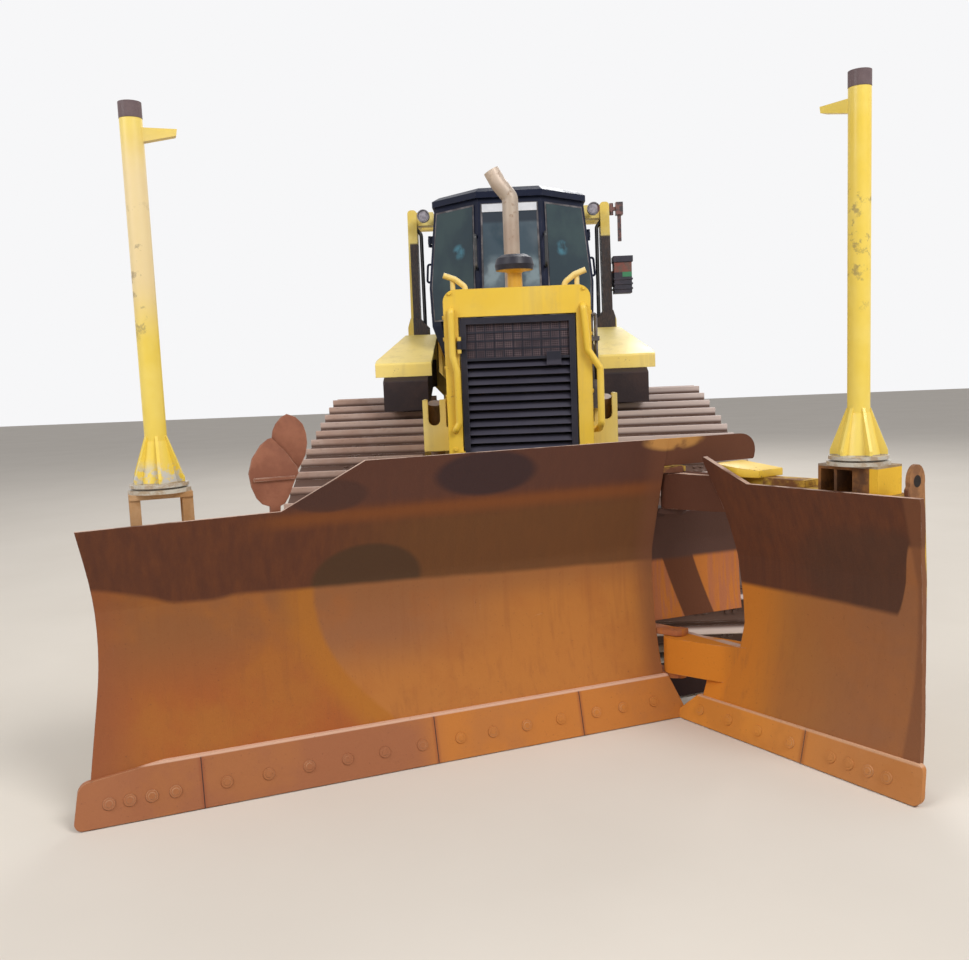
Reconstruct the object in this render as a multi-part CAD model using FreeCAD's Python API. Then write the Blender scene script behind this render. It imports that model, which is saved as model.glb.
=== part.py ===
import FreeCAD, Part
import math
import os

from FreeCAD import Vector

# Tracked dozer with an angling blade whose left wing folds. Millimetres. While the solids are
# made, X runs to the machine's left, Y to its rear and Z up, from the ground under the middle of
# the tracks. Every solid is moved by the same amount at the end, so that the origin lies on the
# ground under the middle of the outline.

# Middle of the outline on the ground
ORIGIN_X = -108.0
ORIGIN_Y = -764.0

# Tracks
TRACK_GAUGE = 2160.0
SHOE_WIDTH = 840.0
SHOE_PITCH = 203.0
SHOE_PLATE = 14.0
GROUSER_HEIGHT = 52.0
GROUSER_ROOT = 26.0
GROUSER_TIP = 14.0
LINK_HEIGHT = 95.0
LINK_INSIDE = 45.0
LINK_OUTSIDE = 90.0
IDLER_SPACING = 3117.0
IDLER_BELT_RADIUS = 364.0
SPROCKET_Y = 700.0
SPROCKET_Z = 1180.0
SPROCKET_BELT_RADIUS = 339.0
SPROCKET_TEETH = 25
CARRIER_Y = -800.0
CARRIER_RADIUS = 95.0
CARRIER_Z = 944.0
ROLLER_RADIUS = 108.0
ROLLER_FLANGE = 18.0
ROLLER_COUNT = 8
SEAT = 0.3

# Hull and running gear
HULL_HALF = 400.0
BELLY_Z = 520.0
CASE_TOP = 1460.0
HULL_FRONT = -1500.0
HULL_REAR = 1780.0
PLATE = 25.0
PIVOT_SHAFT_Y = 420.0
PIVOT_SHAFT_Z = 560.0
PIVOT_SHAFT_RADIUS = 90.0

# Hood and radiator guard
GUARD_HALF = 410.0
GUARD_TOP = 2210.0
GUARD_FRONT = -1920.0
GUARD_REAR = -1500.0
GUARD_BOTTOM = 900.0
GUARD_SHOULDER = 70.0
HOOD_STEP = 8.0
INTAKE_BASE = 2240.0
HOOD_REAR = -260.0
GRILLE_HALF = 322.0
GRILLE_BOTTOM = 1120.0
GRILLE_TOP = 2050.0
GRILLE_DEPTH = 45.0
GAP = 6.0

# Cab
CAB_FLOOR = 1560.0
CAB_TOP = 3040.0
CAB_WAIST = 2120.0
CAB_WALL = 42.0
ROPS_Y = 1050.0
ROPS_DEPTH = 150.0
ROPS_INNER = 792.0
ROPS_OUTER = 870.0
ROPS_TOP = 3140.0
FENDER_TOP = 2083.0
FENDER_INNER = 640.0

# Push frame and lift cylinders
PUSH_PIVOT_Y = 100.0
PUSH_PIVOT_Z = 600.0
ARM_INNER = 450.0
ARM_OUTER = 560.0
ARM_TOP = 440.0
ARM_BOTTOM = 250.0
LIFT_X = 500.0
LIFT_TOP_Y = -1600.0
LIFT_TOP_Z = 1500.0
LIFT_EYE_Y = -1250.0
LIFT_EYE_Z = 600.0
RUNNING = 0.05

# Blade, straight and before it is angled: X from the ball to the machine's left, Y behind the
# ball and Z up. Places along the blade are given from its right end.
BLADE_ANGLE = 22.28
FOLD_ANGLE = 77.4
BALL_Y = -2706.0
BALL_Z = 500.0
BALL_ALONG = 2114.0
BALL_BEHIND = 260.0
BLADE_LENGTH = 2786.0
HINGE_BEHIND = 60.0
PLATE_BLADE = 20.0


def box(x0, x1, y0, y1, z0, z1):
    return Part.makeBox(x1 - x0, y1 - y0, z1 - z0, Vector(x0, y0, z0))


def rod(radius, start, end):
    axis = end.sub(start)
    return Part.makeCylinder(radius, axis.Length, start, axis)


def path_edges(points, radii, closed):
    """Straight runs between the points, joined by a tangent arc where a radius is given."""
    count = len(points)
    joints = []
    for i, here in enumerate(points):
        radius = radii[i]
        inside = closed or 0 < i < count - 1
        if radius <= 0 or not inside:
            joints.append((here, None, here))
            continue
        back = (points[i - 1] - here).normalize()
        onward = (points[(i + 1) % count] - here).normalize()
        half = back.getAngle(onward) / 2
        middle = (back + onward).normalize()
        reach = radius / math.tan(half)
        crown = here + middle * (radius / math.sin(half) - radius)
        joints.append((here + back * reach, crown, here + onward * reach))
    edges = []
    for i, (start, crown, end) in enumerate(joints):
        if crown is not None:
            edges.append(Part.Arc(start, crown, end).toShape())
        if i == count - 1 and not closed:
            break
        following = joints[(i + 1) % count][0]
        if (following - end).Length > 0.01:
            edges.append(Part.LineSegment(end, following).toShape())
    return edges


def prism(points, across, low, high):
    """Extrude an outline of (u, v) or (u, v, corner radius) points across the named axis."""
    place = {"x": lambda u, v: Vector(low, u, v),
             "y": lambda u, v: Vector(u, low, v),
             "z": lambda u, v: Vector(u, v, low)}[across]
    way = {"x": Vector(high - low, 0, 0), "y": Vector(0, high - low, 0), "z": Vector(0, 0, high - low)}[across]
    corners = [place(point[0], point[1]) for point in points]
    radii = [point[2] if len(point) > 2 else 0 for point in points]
    wire = Part.Wire(path_edges(corners, radii, True))
    return Part.Face(wire).extrude(way)


def pipe(points, bend, radius):
    """A bent round bar through the points, with every corner at the same bend."""
    wire = Part.Wire(path_edges(points, [bend] * len(points), False))
    ring = Part.Circle(points[0], points[1] - points[0], radius).toShape()
    return wire.makePipeShell([Part.Wire([ring])], True, False)


def revolve(profile, start, axis):
    """Turn an outline of (distance along the axis, radius) points about the axis."""
    points = [Vector(u, v, 0) for u, v in profile]
    face = Part.Face(Part.makePolygon(points + [points[0]]))
    solid = face.revolve(Vector(0, 0, 0), Vector(1, 0, 0), 360)
    turn = FreeCAD.Rotation(Vector(1, 0, 0), axis)
    solid.Placement = FreeCAD.Placement(start, turn)
    return solid


def mirrored(shape):
    return shape.mirror(Vector(0, 0, 0), Vector(1, 0, 0))


def both(shape):
    """The piece on the machine's left and its mirror image on the right."""
    return Part.makeCompound([shape, mirrored(shape)])


def fused(shapes):
    result = shapes[0].multiFuse(shapes[1:]) if len(shapes) > 1 else shapes[0]
    return result.removeSplitter()


nodes = {}


# Track: the belt runs round the front idler, rear idler, sprocket and carrier roller

track_x = TRACK_GAUGE / 2
idler_y = IDLER_SPACING / 2
idler_z = IDLER_BELT_RADIUS + SHOE_PLATE + GROUSER_HEIGHT
carrier_belt_radius = CARRIER_RADIUS + LINK_HEIGHT
BELT = [(-idler_y, idler_z, IDLER_BELT_RADIUS),
        (idler_y, idler_z, IDLER_BELT_RADIUS),
        (SPROCKET_Y, SPROCKET_Z, SPROCKET_BELT_RADIUS),
        (CARRIER_Y, CARRIER_Z, carrier_belt_radius)]


def belt_runs(circles):
    """Straight and round runs of a belt pulled tight about circles of (y, z, radius)."""
    count = len(circles)
    normals = []
    for i in range(count):
        y0, z0, r0 = circles[i]
        y1, z1, r1 = circles[(i + 1) % count]
        along = math.atan2(z1 - z0, y1 - y0)
        normals.append(along - math.acos((r0 - r1) / math.hypot(y1 - y0, z1 - z0)))
    runs = []
    for i in range(count):
        y0, z0, r0 = circles[i]
        y1, z1, r1 = circles[(i + 1) % count]
        out = Vector(0, math.cos(normals[i]), math.sin(normals[i]))
        start = Vector(0, y0, z0) + out * r0
        end = Vector(0, y1, z1) + out * r1
        turn = (normals[(i + 1) % count] - normals[i]) % (2 * math.pi)
        runs.append(((end - start).Length, start, (end - start).normalize(), normals[i]))
        runs.append((turn * r1, Vector(0, y1, z1), r1, normals[i]))
    return runs


BELT_RUNS = belt_runs(BELT)
belt_length = sum(run[0] for run in BELT_RUNS)
shoe_count = round(belt_length / SHOE_PITCH)
pitch = belt_length / shoe_count


def belt_point(distance, out):
    """The point that far along the belt and that far outside it."""
    left = distance % belt_length
    for length, first, second, normal in BELT_RUNS:
        if left <= length:
            break
        left -= length
    if isinstance(second, float):
        angle = normal + left / second
        return first + Vector(0, math.cos(angle), math.sin(angle)) * (second + out)
    away = Vector(0, math.cos(normal), math.sin(normal))
    return first + second * left + away * out


def belt_ring(outline, inner, x0, x1):
    """A closed band whose outline repeats each pitch: rows of (share of the pitch, height)."""
    outer_points = []
    inner_points = []
    for i in range(shoe_count):
        for share, height in outline:
            outer_points.append(belt_point((i + share) * pitch, height))
        inner_points.append(belt_point(i * pitch, inner))
    shift = Vector(x0, 0, 0)
    rings = []
    for points in (outer_points, inner_points):
        placed = [point + shift for point in points]
        rings.append(Part.Face(Part.makePolygon(placed + [placed[0]])).extrude(Vector(x1 - x0, 0, 0)))
    return rings[0].cut(rings[1])


def track():
    """Shoes with one tall grouser each, over two rails of links."""
    root = GROUSER_ROOT / pitch
    tip = GROUSER_TIP / pitch
    slope = (root - tip) / 2
    top = SHOE_PLATE + GROUSER_HEIGHT
    shoe = [(0.0, SHOE_PLATE),
            (0.12, SHOE_PLATE),
            (0.12 + slope, top),
            (0.12 + slope + tip, top),
            (0.12 + root, SHOE_PLATE)]
    shoes = belt_ring(shoe, -1.0, track_x - SHOE_WIDTH / 2, track_x + SHOE_WIDTH / 2)
    rails = [belt_ring([(0.0, 0.0)], -LINK_HEIGHT, track_x + side * LINK_INSIDE, track_x + side * LINK_OUTSIDE)
             for side in (-1, 1)]
    return fused([shoes] + rails)


track_left = track()
nodes["track_left"] = track_left
nodes["track_right"] = mirrored(track_left)

# Wheels inside the track: a chord of the rail lies nearer the centre than its corners


def seat_radius(belt_radius):
    return (belt_radius - LINK_HEIGHT) * math.cos(pitch / (2 * belt_radius)) - SEAT


def idler(y):
    rim = seat_radius(IDLER_BELT_RADIUS) - SEAT
    half = LINK_OUTSIDE + 8
    step = LINK_INSIDE - 6
    profile = [(-half - 14, 0), (-half - 14, 70), (-half + 14, 80), (-half + 14, rim - 60), (-half, rim - 60),
               (-half, rim), (-step, rim), (-step, rim + 22), (step, rim + 22), (step, rim),
               (half, rim), (half, rim - 60), (half - 14, rim - 60), (half - 14, 80), (half + 14, 70),
               (half + 14, 0)]
    return revolve(profile, Vector(track_x, y, idler_z), Vector(1, 0, 0))


def small_roller(y, z, radius, reach):
    step = LINK_INSIDE - 6
    profile = [(-reach, 0), (-reach, 42), (-LINK_OUTSIDE - 6, 60), (-LINK_OUTSIDE - 6, radius), (-step, radius),
               (-step, radius + ROLLER_FLANGE), (step, radius + ROLLER_FLANGE), (step, radius),
               (LINK_OUTSIDE + 6, radius), (LINK_OUTSIDE + 6, 60), (reach, 42), (reach, 0)]
    return revolve(profile, Vector(track_x, y, z), Vector(1, 0, 0))


frame_gap = 115.0
roller_z = SHOE_PLATE + GROUSER_HEIGHT + LINK_HEIGHT + SEAT + ROLLER_RADIUS
roller_span = 2 * idler_y - 2 * IDLER_BELT_RADIUS - 120
roller_places = [roller_span * (i / (ROLLER_COUNT - 1) - 0.5) for i in range(ROLLER_COUNT)]
carrier_seat = CARRIER_RADIUS * math.cos(pitch / (2 * carrier_belt_radius)) - 22.0
wheels = [idler(-idler_y), idler(idler_y)]
wheels += [small_roller(y, roller_z, ROLLER_RADIUS, frame_gap) for y in roller_places]
wheels.append(small_roller(CARRIER_Y, CARRIER_Z, carrier_seat, frame_gap))
nodes["track_rollers"] = both(Part.makeCompound(wheels))

# Track frame: two side plates with a box between them, and a bracket up to the carrier roller


def track_frame():
    thick = PLATE
    parts = []
    end = idler_y + 40
    outline = [(-end - 60, idler_z - 110, 60), (-idler_y + 330, 250, 60), (idler_y - 330, 250, 60),
               (end + 60, idler_z - 110, 60), (end + 60, idler_z + 90, 60), (idler_y - 330, 570, 80),
               (-idler_y + 330, 570, 80), (-end - 60, idler_z + 90, 60)]
    for side in (-1, 1):
        x0 = track_x + side * (frame_gap + thick / 2) - thick / 2
        parts.append(prism(outline, "x", x0, x0 + thick))
    box_end = idler_y - IDLER_BELT_RADIUS
    top = [(-box_end, 425), (box_end, 425), (box_end, 560, 40), (-box_end, 560, 40)]
    parts.append(prism(top, "x", track_x - frame_gap - 1, track_x + frame_gap + 1))
    post = [(CARRIER_Y - 110, 540), (CARRIER_Y + 110, 540), (CARRIER_Y + 60, CARRIER_Z + 30, 40),
            (CARRIER_Y - 60, CARRIER_Z + 30, 40)]
    for side in (-1, 1):
        x0 = track_x + side * (frame_gap + thick / 2) - thick / 2
        parts.append(prism(post, "x", x0, x0 + thick))
    cover = [(-640, 555), (640, 555), (560, 640, 40), (-560, 640, 40)]
    parts.append(prism(cover, "x", track_x - 90, track_x + 90))
    return fused(parts)


nodes["track_frames"] = both(track_frame())

# Sprocket and final drive


def sprocket():
    tip = SPROCKET_BELT_RADIUS - LINK_HEIGHT / 2 + 12
    root = tip - 46
    points = []
    for i in range(SPROCKET_TEETH):
        for share, radius in ((0.0, root), (0.18, root), (0.38, tip), (0.60, tip), (0.80, root)):
            angle = 2 * math.pi * (i + share) / SPROCKET_TEETH
            points.append((SPROCKET_Y + radius * math.cos(angle), SPROCKET_Z + radius * math.sin(angle)))
    return prism(points, "x", track_x - LINK_INSIDE + 10, track_x + LINK_INSIDE - 10)


def final_drive():
    hub = [(0, 0), (0, 300), (track_x - HULL_HALF - 250, 300), (track_x - HULL_HALF - 200, 225),
           (track_x - HULL_HALF - LINK_INSIDE + 10, 225), (track_x - HULL_HALF - LINK_INSIDE + 10, 0)]
    inner = revolve(hub, Vector(HULL_HALF, SPROCKET_Y, SPROCKET_Z), Vector(1, 0, 0))
    cap_start = track_x + LINK_INSIDE - 10
    cap = [(0, 0), (0, 225), (60, 225), (110, 180), (200, 165), (215, 150), (215, 0)]
    outer = revolve(cap, Vector(cap_start, SPROCKET_Y, SPROCKET_Z), Vector(1, 0, 0))
    return Part.makeCompound([inner, outer])


nodes["sprockets"] = both(sprocket())
nodes["final_drives"] = both(final_drive())

# Hull: belly box, rear case, pivot shaft for the track frames and trunnions for the push arms


def hull():
    belly = [(HULL_FRONT, 700), (HULL_FRONT + 180, BELLY_Z, 60), (HULL_REAR - 150, BELLY_Z, 60),
             (HULL_REAR, 680), (HULL_REAR, 1000), (HULL_FRONT, 1000)]
    case = [(250, 900), (HULL_REAR, 900), (HULL_REAR, 1380, 60), (1690, CASE_TOP, 60), (250, CASE_TOP, 60)]
    shaft = rod(PIVOT_SHAFT_RADIUS, Vector(-track_x + frame_gap + PLATE, PIVOT_SHAFT_Y, PIVOT_SHAFT_Z),
                Vector(track_x - frame_gap - PLATE, PIVOT_SHAFT_Y, PIVOT_SHAFT_Z))
    trunnion_end = ARM_OUTER + 12
    trunnion = rod(55, Vector(-trunnion_end, PUSH_PIVOT_Y, PUSH_PIVOT_Z),
                   Vector(trunnion_end, PUSH_PIVOT_Y, PUSH_PIVOT_Z))
    floor = box(-HULL_HALF, HULL_HALF, 330, 1300, CASE_TOP - 1, CAB_FLOOR)
    post = [(HULL_HALF - 1, 1392), (470, 1392), (735, 1690), (735, FENDER_TOP - PLATE), (655, FENDER_TOP - PLATE),
            (655, 1760), (455, 1530), (HULL_HALF - 1, 1530)]
    support = prism(post, "y", ROPS_Y, ROPS_Y + ROPS_DEPTH)
    return fused([prism(belly, "x", -HULL_HALF + 40, HULL_HALF - 40),
                  prism(case, "x", -HULL_HALF, HULL_HALF),
                  box(-HULL_HALF, HULL_HALF, -160, 260, 540, 1000),
                  box(-GUARD_HALF + PLATE, GUARD_HALF - PLATE, GUARD_REAR, HOOD_REAR, 999, 1040),
                  shaft, trunnion, floor, support, mirrored(support)])


nodes["hull"] = hull()
nodes["engine_block"] = box(-260, 260, -1330, -420, 1040, 1760)

# Door hinges

HINGE_PIN = 8.0
HINGE_SLEEVE = 14.0
HINGE_TALL = 44.0


def hinge_pins(x, y, places, seat_x, seat_y):
    """Upright pins between two lugs each, the lugs reaching from the axis to the carrier."""
    parts = []
    for z in places:
        parts.append(rod(HINGE_PIN, Vector(x, y, z - 24), Vector(x, y, z + HINGE_TALL + 24)))
        for low in (z - 24, z + HINGE_TALL + 2):
            parts.append(rod(HINGE_SLEEVE - 2, Vector(x, y, low), Vector(x, y, low + 22)))
            parts.append(box(min(x, seat_x), max(x, seat_x), min(y, seat_y), max(y, seat_y), low, low + 22))
    return parts


def hinge_sleeves(x, y, places, seat_x, seat_y):
    """Sleeves for the pins, each with a lug to the door, and the bores to cut through them."""
    parts = []
    for z in places:
        parts.append(rod(HINGE_SLEEVE, Vector(x, y, z), Vector(x, y, z + HINGE_TALL)))
        parts.append(box(min(x, seat_x), max(x, seat_x), min(y, seat_y), max(y, seat_y), z, z + HINGE_TALL))
    bores = [rod(HINGE_PIN + RUNNING, Vector(x, y, z - 1), Vector(x, y, z + HINGE_TALL + 1)) for z in places]
    return parts, Part.makeCompound(bores)


# Radiator guard: a deep frame with rounded shoulders, a bent tube down each side of the grille


def guard():
    outline = [(-GUARD_HALF, GUARD_BOTTOM), (GUARD_HALF, GUARD_BOTTOM),
               (GUARD_HALF, GUARD_TOP, GUARD_SHOULDER), (-GUARD_HALF, GUARD_TOP, GUARD_SHOULDER)]
    hollow = [(-GUARD_HALF + PLATE, GUARD_BOTTOM + 90), (GUARD_HALF - PLATE, GUARD_BOTTOM + 90),
              (GUARD_HALF - PLATE, GUARD_TOP - PLATE, GUARD_SHOULDER - PLATE),
              (-GUARD_HALF + PLATE, GUARD_TOP - PLATE, GUARD_SHOULDER - PLATE)]
    shell = prism(outline, "y", GUARD_FRONT, GUARD_REAR)
    shell = shell.cut(prism(hollow, "y", GUARD_FRONT + 60, GUARD_REAR + 1))
    mouth = box(-GRILLE_HALF - GAP, GRILLE_HALF + GAP, GUARD_FRONT - 1, GUARD_FRONT + 61,
                GRILLE_BOTTOM - GAP, GRILLE_TOP + GAP)
    shell = shell.cut(mouth)
    front = GUARD_FRONT - 22
    tube = 19.0
    left = [Vector(366, GUARD_FRONT + 8, 2092), Vector(366, front, 2092), Vector(386, front, 1850),
            Vector(452, front, 1745), Vector(452, front, 1440), Vector(452, front + 130, 1400),
            Vector(GUARD_HALF - 12, front + 130, 1400)]
    right = [Vector(-366, GUARD_FRONT + 8, 2092), Vector(-366, front, 2092), Vector(-366, front, 1840),
             Vector(-344, front, 1755), Vector(-344, front, 1470), Vector(-366, front, 1430),
             Vector(-366, GUARD_FRONT + 8, 1430)]
    pieces = [shell]
    for route, bend in ((left, 20.0), (right, 14.0)):
        pieces.append(pipe(route, bend, tube))
    return fused(pieces)



# Grille door: frame, mesh band above and louvres below, hinged beside its right edge

LOUVRE_COUNT = 14
MESH_BAND = 190.0
DOOR_FRAME = 34.0
GRILLE_HINGES = (1240.0, 1880.0)
grille_hinge_x = -GRILLE_HALF - 6
grille_hinge_y = GUARD_FRONT - HINGE_SLEEVE - 1


def grille_door():
    y0 = GUARD_FRONT + 8
    y1 = y0 + GRILLE_DEPTH
    leaf = box(-GRILLE_HALF, GRILLE_HALF, y0, y1, GRILLE_BOTTOM, GRILLE_TOP)
    inner = GRILLE_HALF - DOOR_FRAME
    leaf = leaf.cut(box(-inner, inner, y0 - 1, y1 + 1, GRILLE_BOTTOM + DOOR_FRAME, GRILLE_TOP - DOOR_FRAME))
    parts = [leaf]
    band = GRILLE_TOP - DOOR_FRAME - MESH_BAND
    parts.append(box(-inner - 1, inner + 1, y0 + 6, y1 - 6, band - 14, band))
    step = (band - 14 - GRILLE_BOTTOM - DOOR_FRAME) / LOUVRE_COUNT
    for i in range(LOUVRE_COUNT):
        z = GRILLE_BOTTOM + DOOR_FRAME + (i + 0.5) * step
        blade = [(y0 + 5, z - 16), (y0 + 9, z - 18), (y1 - 4, z + 14), (y1 - 8, z + 16)]
        parts.append(prism(blade, "x", -inner - 1, inner + 1))
    bars = 11
    for i in range(1, bars):
        x = -inner + 2 * inner * i / bars
        parts.append(box(x - 4, x + 4, y0 + 14, y0 + 22, band - 1, GRILLE_TOP - DOOR_FRAME + 1))
    rows = 4
    for i in range(1, rows):
        z = band + MESH_BAND * i / rows
        parts.append(box(-inner - 1, inner + 1, y0 + 14, y0 + 22, z - 4, z + 4))
    latch = box(inner - 130, inner - 50, y0 - 4, y1 - 8, 1775, 1850)
    parts.append(latch)
    sleeves, bores = hinge_sleeves(grille_hinge_x, grille_hinge_y, GRILLE_HINGES, 34 - GRILLE_HALF, y0 + 2)
    return fused(parts + sleeves).cut(bores)


nodes["grille_door"] = grille_door()
pins = hinge_pins(grille_hinge_x, grille_hinge_y, GRILLE_HINGES, -GRILLE_HALF - GAP - 12,
                  GUARD_FRONT + 2)
nodes["radiator_guard"] = fused([guard()] + pins)

# Hood: roof and side frames over the engine, with two grab handles; a door in each side

DOOR_FRONT = -1380.0
DOOR_REAR = -420.0
DOOR_LOW = 1450.0
DOOR_HIGH = 2060.0
hood_half = GUARD_HALF - HOOD_STEP
hood_top = GUARD_TOP - HOOD_STEP
SIDE_HINGES = (1520.0, 1930.0)
side_hinge_x = hood_half + HINGE_SLEEVE + 1
side_hinge_y = DOOR_FRONT - GAP / 2


def hood():
    outline = [(-hood_half, 1040), (hood_half, 1040), (hood_half, hood_top, GUARD_SHOULDER),
               (-hood_half, hood_top, GUARD_SHOULDER)]
    inner = hood_half - PLATE
    hollow = [(-inner, 1039), (inner, 1039), (inner, hood_top - PLATE, GUARD_SHOULDER - PLATE),
              (-inner, hood_top - PLATE, GUARD_SHOULDER - PLATE)]
    shell = prism(outline, "y", GUARD_REAR, HOOD_REAR).cut(prism(hollow, "y", GUARD_REAR - 1, HOOD_REAR + 1))
    slot = box(-GUARD_HALF - 1, GUARD_HALF + 1, DOOR_FRONT - GAP, DOOR_REAR + GAP, DOOR_LOW - GAP, DOOR_HIGH + GAP)
    shell = shell.cut(slot)
    pieces = [shell]
    pins = hinge_pins(side_hinge_x, side_hinge_y, SIDE_HINGES, hood_half - 2, DOOR_FRONT - GAP - 30)
    pieces += pins + [mirrored(pin) for pin in pins]
    top = hood_top - 2
    for side in (-1, 1):
        route = [Vector(side * 290, -1480, top), Vector(side * 300, -1480, top + 62),
                 Vector(side * 355, -1490, top + 105),
                 Vector(side * 425, -1500, top + 130)]
        pieces.append(pipe(route, 30.0, 17.0))
        pieces.append(rod(15, Vector(side * 372, -1478, top - 25), Vector(side * 372, -1478, top + 110)))
    pieces.append(box(-200, 200, -1300, -1000, top, INTAKE_BASE))
    return fused(pieces)


nodes["hood"] = hood()


def side_door():
    """Flat outer leaf with a turned-in rim, in the slot of the hood's side."""
    face = hood_half
    leaf = box(face - PLATE, face, DOOR_FRONT, DOOR_REAR, DOOR_LOW, DOOR_HIGH)
    slots = []
    for i in range(9):
        y = DOOR_FRONT + 330 + i * 60
        slots.append(box(face - PLATE - 1, face + 1, y, y + 26, DOOR_LOW + 150, DOOR_HIGH - 120))
    for slot in slots:
        leaf = leaf.cut(slot)
    pull = pipe([Vector(face - 4, DOOR_REAR - 60, 1700), Vector(face + 28, DOOR_REAR - 60, 1700),
                 Vector(face + 28, DOOR_REAR - 60, 1820), Vector(face - 4, DOOR_REAR - 60, 1820)], 14.0, 8.0)
    sleeves, bores = hinge_sleeves(side_hinge_x, side_hinge_y, SIDE_HINGES, face - 2, DOOR_FRONT + 30)
    return fused([leaf, pull] + sleeves).cut(bores)


nodes["side_door_left"] = side_door()
nodes["side_door_right"] = mirrored(nodes["side_door_left"])

# Air intake cap and exhaust stack


def precleaner():
    profile = [(0, 0), (0, 48), (120, 46), (130, 60), (138, 118), (170, 124), (212, 112), (232, 80), (240, 0)]
    return revolve(profile, Vector(6, -1150, INTAKE_BASE), Vector(0, 0, 1))


nodes["precleaner"] = precleaner()


STACK_BEND = 2905.0
STACK_TIP = 3085.0


def exhaust():
    route = [Vector(0, -700, hood_top), Vector(0, -700, STACK_BEND), Vector(-75, -700, STACK_BEND + 95),
             Vector(-120, -700, STACK_TIP)]
    outer = pipe(route, 60.0, 54.0)
    inner = pipe([Vector(0, -700, GUARD_TOP + 200)] + route[1:3] + [Vector(-141, -700, STACK_TIP + 40)], 60.0, 49.0)
    cuff = rod(64, Vector(0, -700, hood_top), Vector(0, -700, GUARD_TOP + 90))
    return fused([outer, cuff]).cut(inner)


nodes["exhaust"] = exhaust()

# Cab: a shell with a narrow front, slanting to its full width at the doors. Each level is
# (height, half of the front, half at the doors, y of the front, y of the corner, y of the rear)

CAB_LEVELS = [(CAB_FLOOR, 235.0, 440.0, 20.0, 300.0, 1340.0),
              (CAB_WAIST, 245.0, 640.0, 0.0, 400.0, 1390.0),
              (CAB_WAIST + 0.33 * (CAB_TOP - CAB_WAIST), 245.0, 650.0, 0.0, 410.0, 1390.0),
              (CAB_TOP, 235.0, 585.0, 60.0, 420.0, 1330.0)]
CAB_DOOR_FRONT = 470.0
CAB_DOOR_REAR = 985.0
CAB_DOOR_LOW = CAB_WAIST + 10
CAB_DOOR_HIGH = CAB_TOP - 80
WINDOW_RIM = 55.0


def cab_body(inset, low_inset):
    wires = []
    for i, (z, front, side, y0, y1, y2) in enumerate(CAB_LEVELS):
        height = z + (low_inset if i == 0 else 0) - (low_inset if i == len(CAB_LEVELS) - 1 else 0)
        points = [(-front + inset * 0.5, y0 + inset), (front - inset * 0.5, y0 + inset),
                  (side - inset, y1 + inset * 0.5), (side - inset, y2 - inset), (-side + inset, y2 - inset),
                  (-side + inset, y1 + inset * 0.5)]
        placed = [Vector(x, y, height) for x, y in points]
        wires.append(Part.makePolygon(placed + [placed[0]]))
    return Part.makeLoft(wires, True, True)


def side_prism(y0, y1, z0, z1, rim, corner):
    """A window or door outline on the side of the cab, from the middle out past the left wall."""
    outline = [(y0 + rim, z0 + rim, corner), (y1 - rim, z0 + rim, corner), (y1 - rim, z1 - rim, corner),
               (y0 + rim, z1 - rim, corner)]
    return prism(outline, "x", 300, 900)


def diagonal_prism(rim):
    """The slanting front window, seen square to its wall."""
    outline = [(-110 + rim, CAB_FLOOR + 160, 30), (110 - rim, CAB_FLOOR + 160, 30), (185 - rim, CAB_WAIST + 80, 60),
               (165 - rim, CAB_TOP - 110, 40), (-165 + rim, CAB_TOP - 110, 40), (-175 + rim, CAB_WAIST + 80, 60)]
    cutter = prism(outline, "y", -300, 160)
    cutter.rotate(Vector(0, 0, 0), Vector(0, 0, 1), 46)
    cutter.translate(Vector(435, 205, 0))
    return cutter


cab_outer = cab_body(0, 0)
cab_walls = cab_outer.cut(cab_body(CAB_WALL, 30))
door_hole = side_prism(CAB_DOOR_FRONT, CAB_DOOR_REAR, CAB_DOOR_LOW, CAB_DOOR_HIGH, 0, 60)
door_leaf = side_prism(CAB_DOOR_FRONT, CAB_DOOR_REAR, CAB_DOOR_LOW, CAB_DOOR_HIGH, GAP, 56)
door_window = side_prism(CAB_DOOR_FRONT, CAB_DOOR_REAR, CAB_DOOR_LOW, CAB_DOOR_HIGH, WINDOW_RIM, 40)
rear_window = side_prism(CAB_DOOR_REAR + 40, 1330, CAB_DOOR_LOW + 60, CAB_DOOR_HIGH, 10, 40)
front_window = prism([(-190, CAB_WAIST + 110, 30), (190, CAB_WAIST + 110, 30), (190, CAB_TOP - 95, 30),
                      (-190, CAB_TOP - 95, 30)],
                     "y", -100, 200)
back_window = prism([(-480, CAB_WAIST + 130, 60), (480, CAB_WAIST + 130, 60), (430, CAB_TOP - 110, 60),
                     (-430, CAB_TOP - 110, 60)],
                    "y", 1200, 1500)

GLASS = 8.0
glass_skin = cab_body(CAB_WALL / 2 - GLASS / 2, 20).cut(cab_body(CAB_WALL / 2 + GLASS / 2, 20.5 + GLASS))


def pane(hole):
    return glass_skin.common(hole)


fixed_holes = [front_window, back_window]
for hole in (diagonal_prism(0), rear_window):
    fixed_holes += [hole, mirrored(hole)]
shell = cab_walls
for hole in fixed_holes + [door_hole, mirrored(door_hole)]:
    shell = shell.cut(hole)
CAB_HINGES = (CAB_DOOR_LOW + 130, CAB_DOOR_HIGH - 120)
cab_hinge_x = 674.0
cab_hinge_y = CAB_DOOR_REAR + 6
pins = Part.makeCompound(hinge_pins(cab_hinge_x, cab_hinge_y, CAB_HINGES, 600, cab_hinge_y + 28)).cut(cab_outer)
shell = shell.fuse([pins, mirrored(pins)])
nodes["cab_shell"] = shell.removeSplitter()
nodes["cab_glass"] = Part.makeCompound([pane(hole) for hole in fixed_holes])

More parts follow.
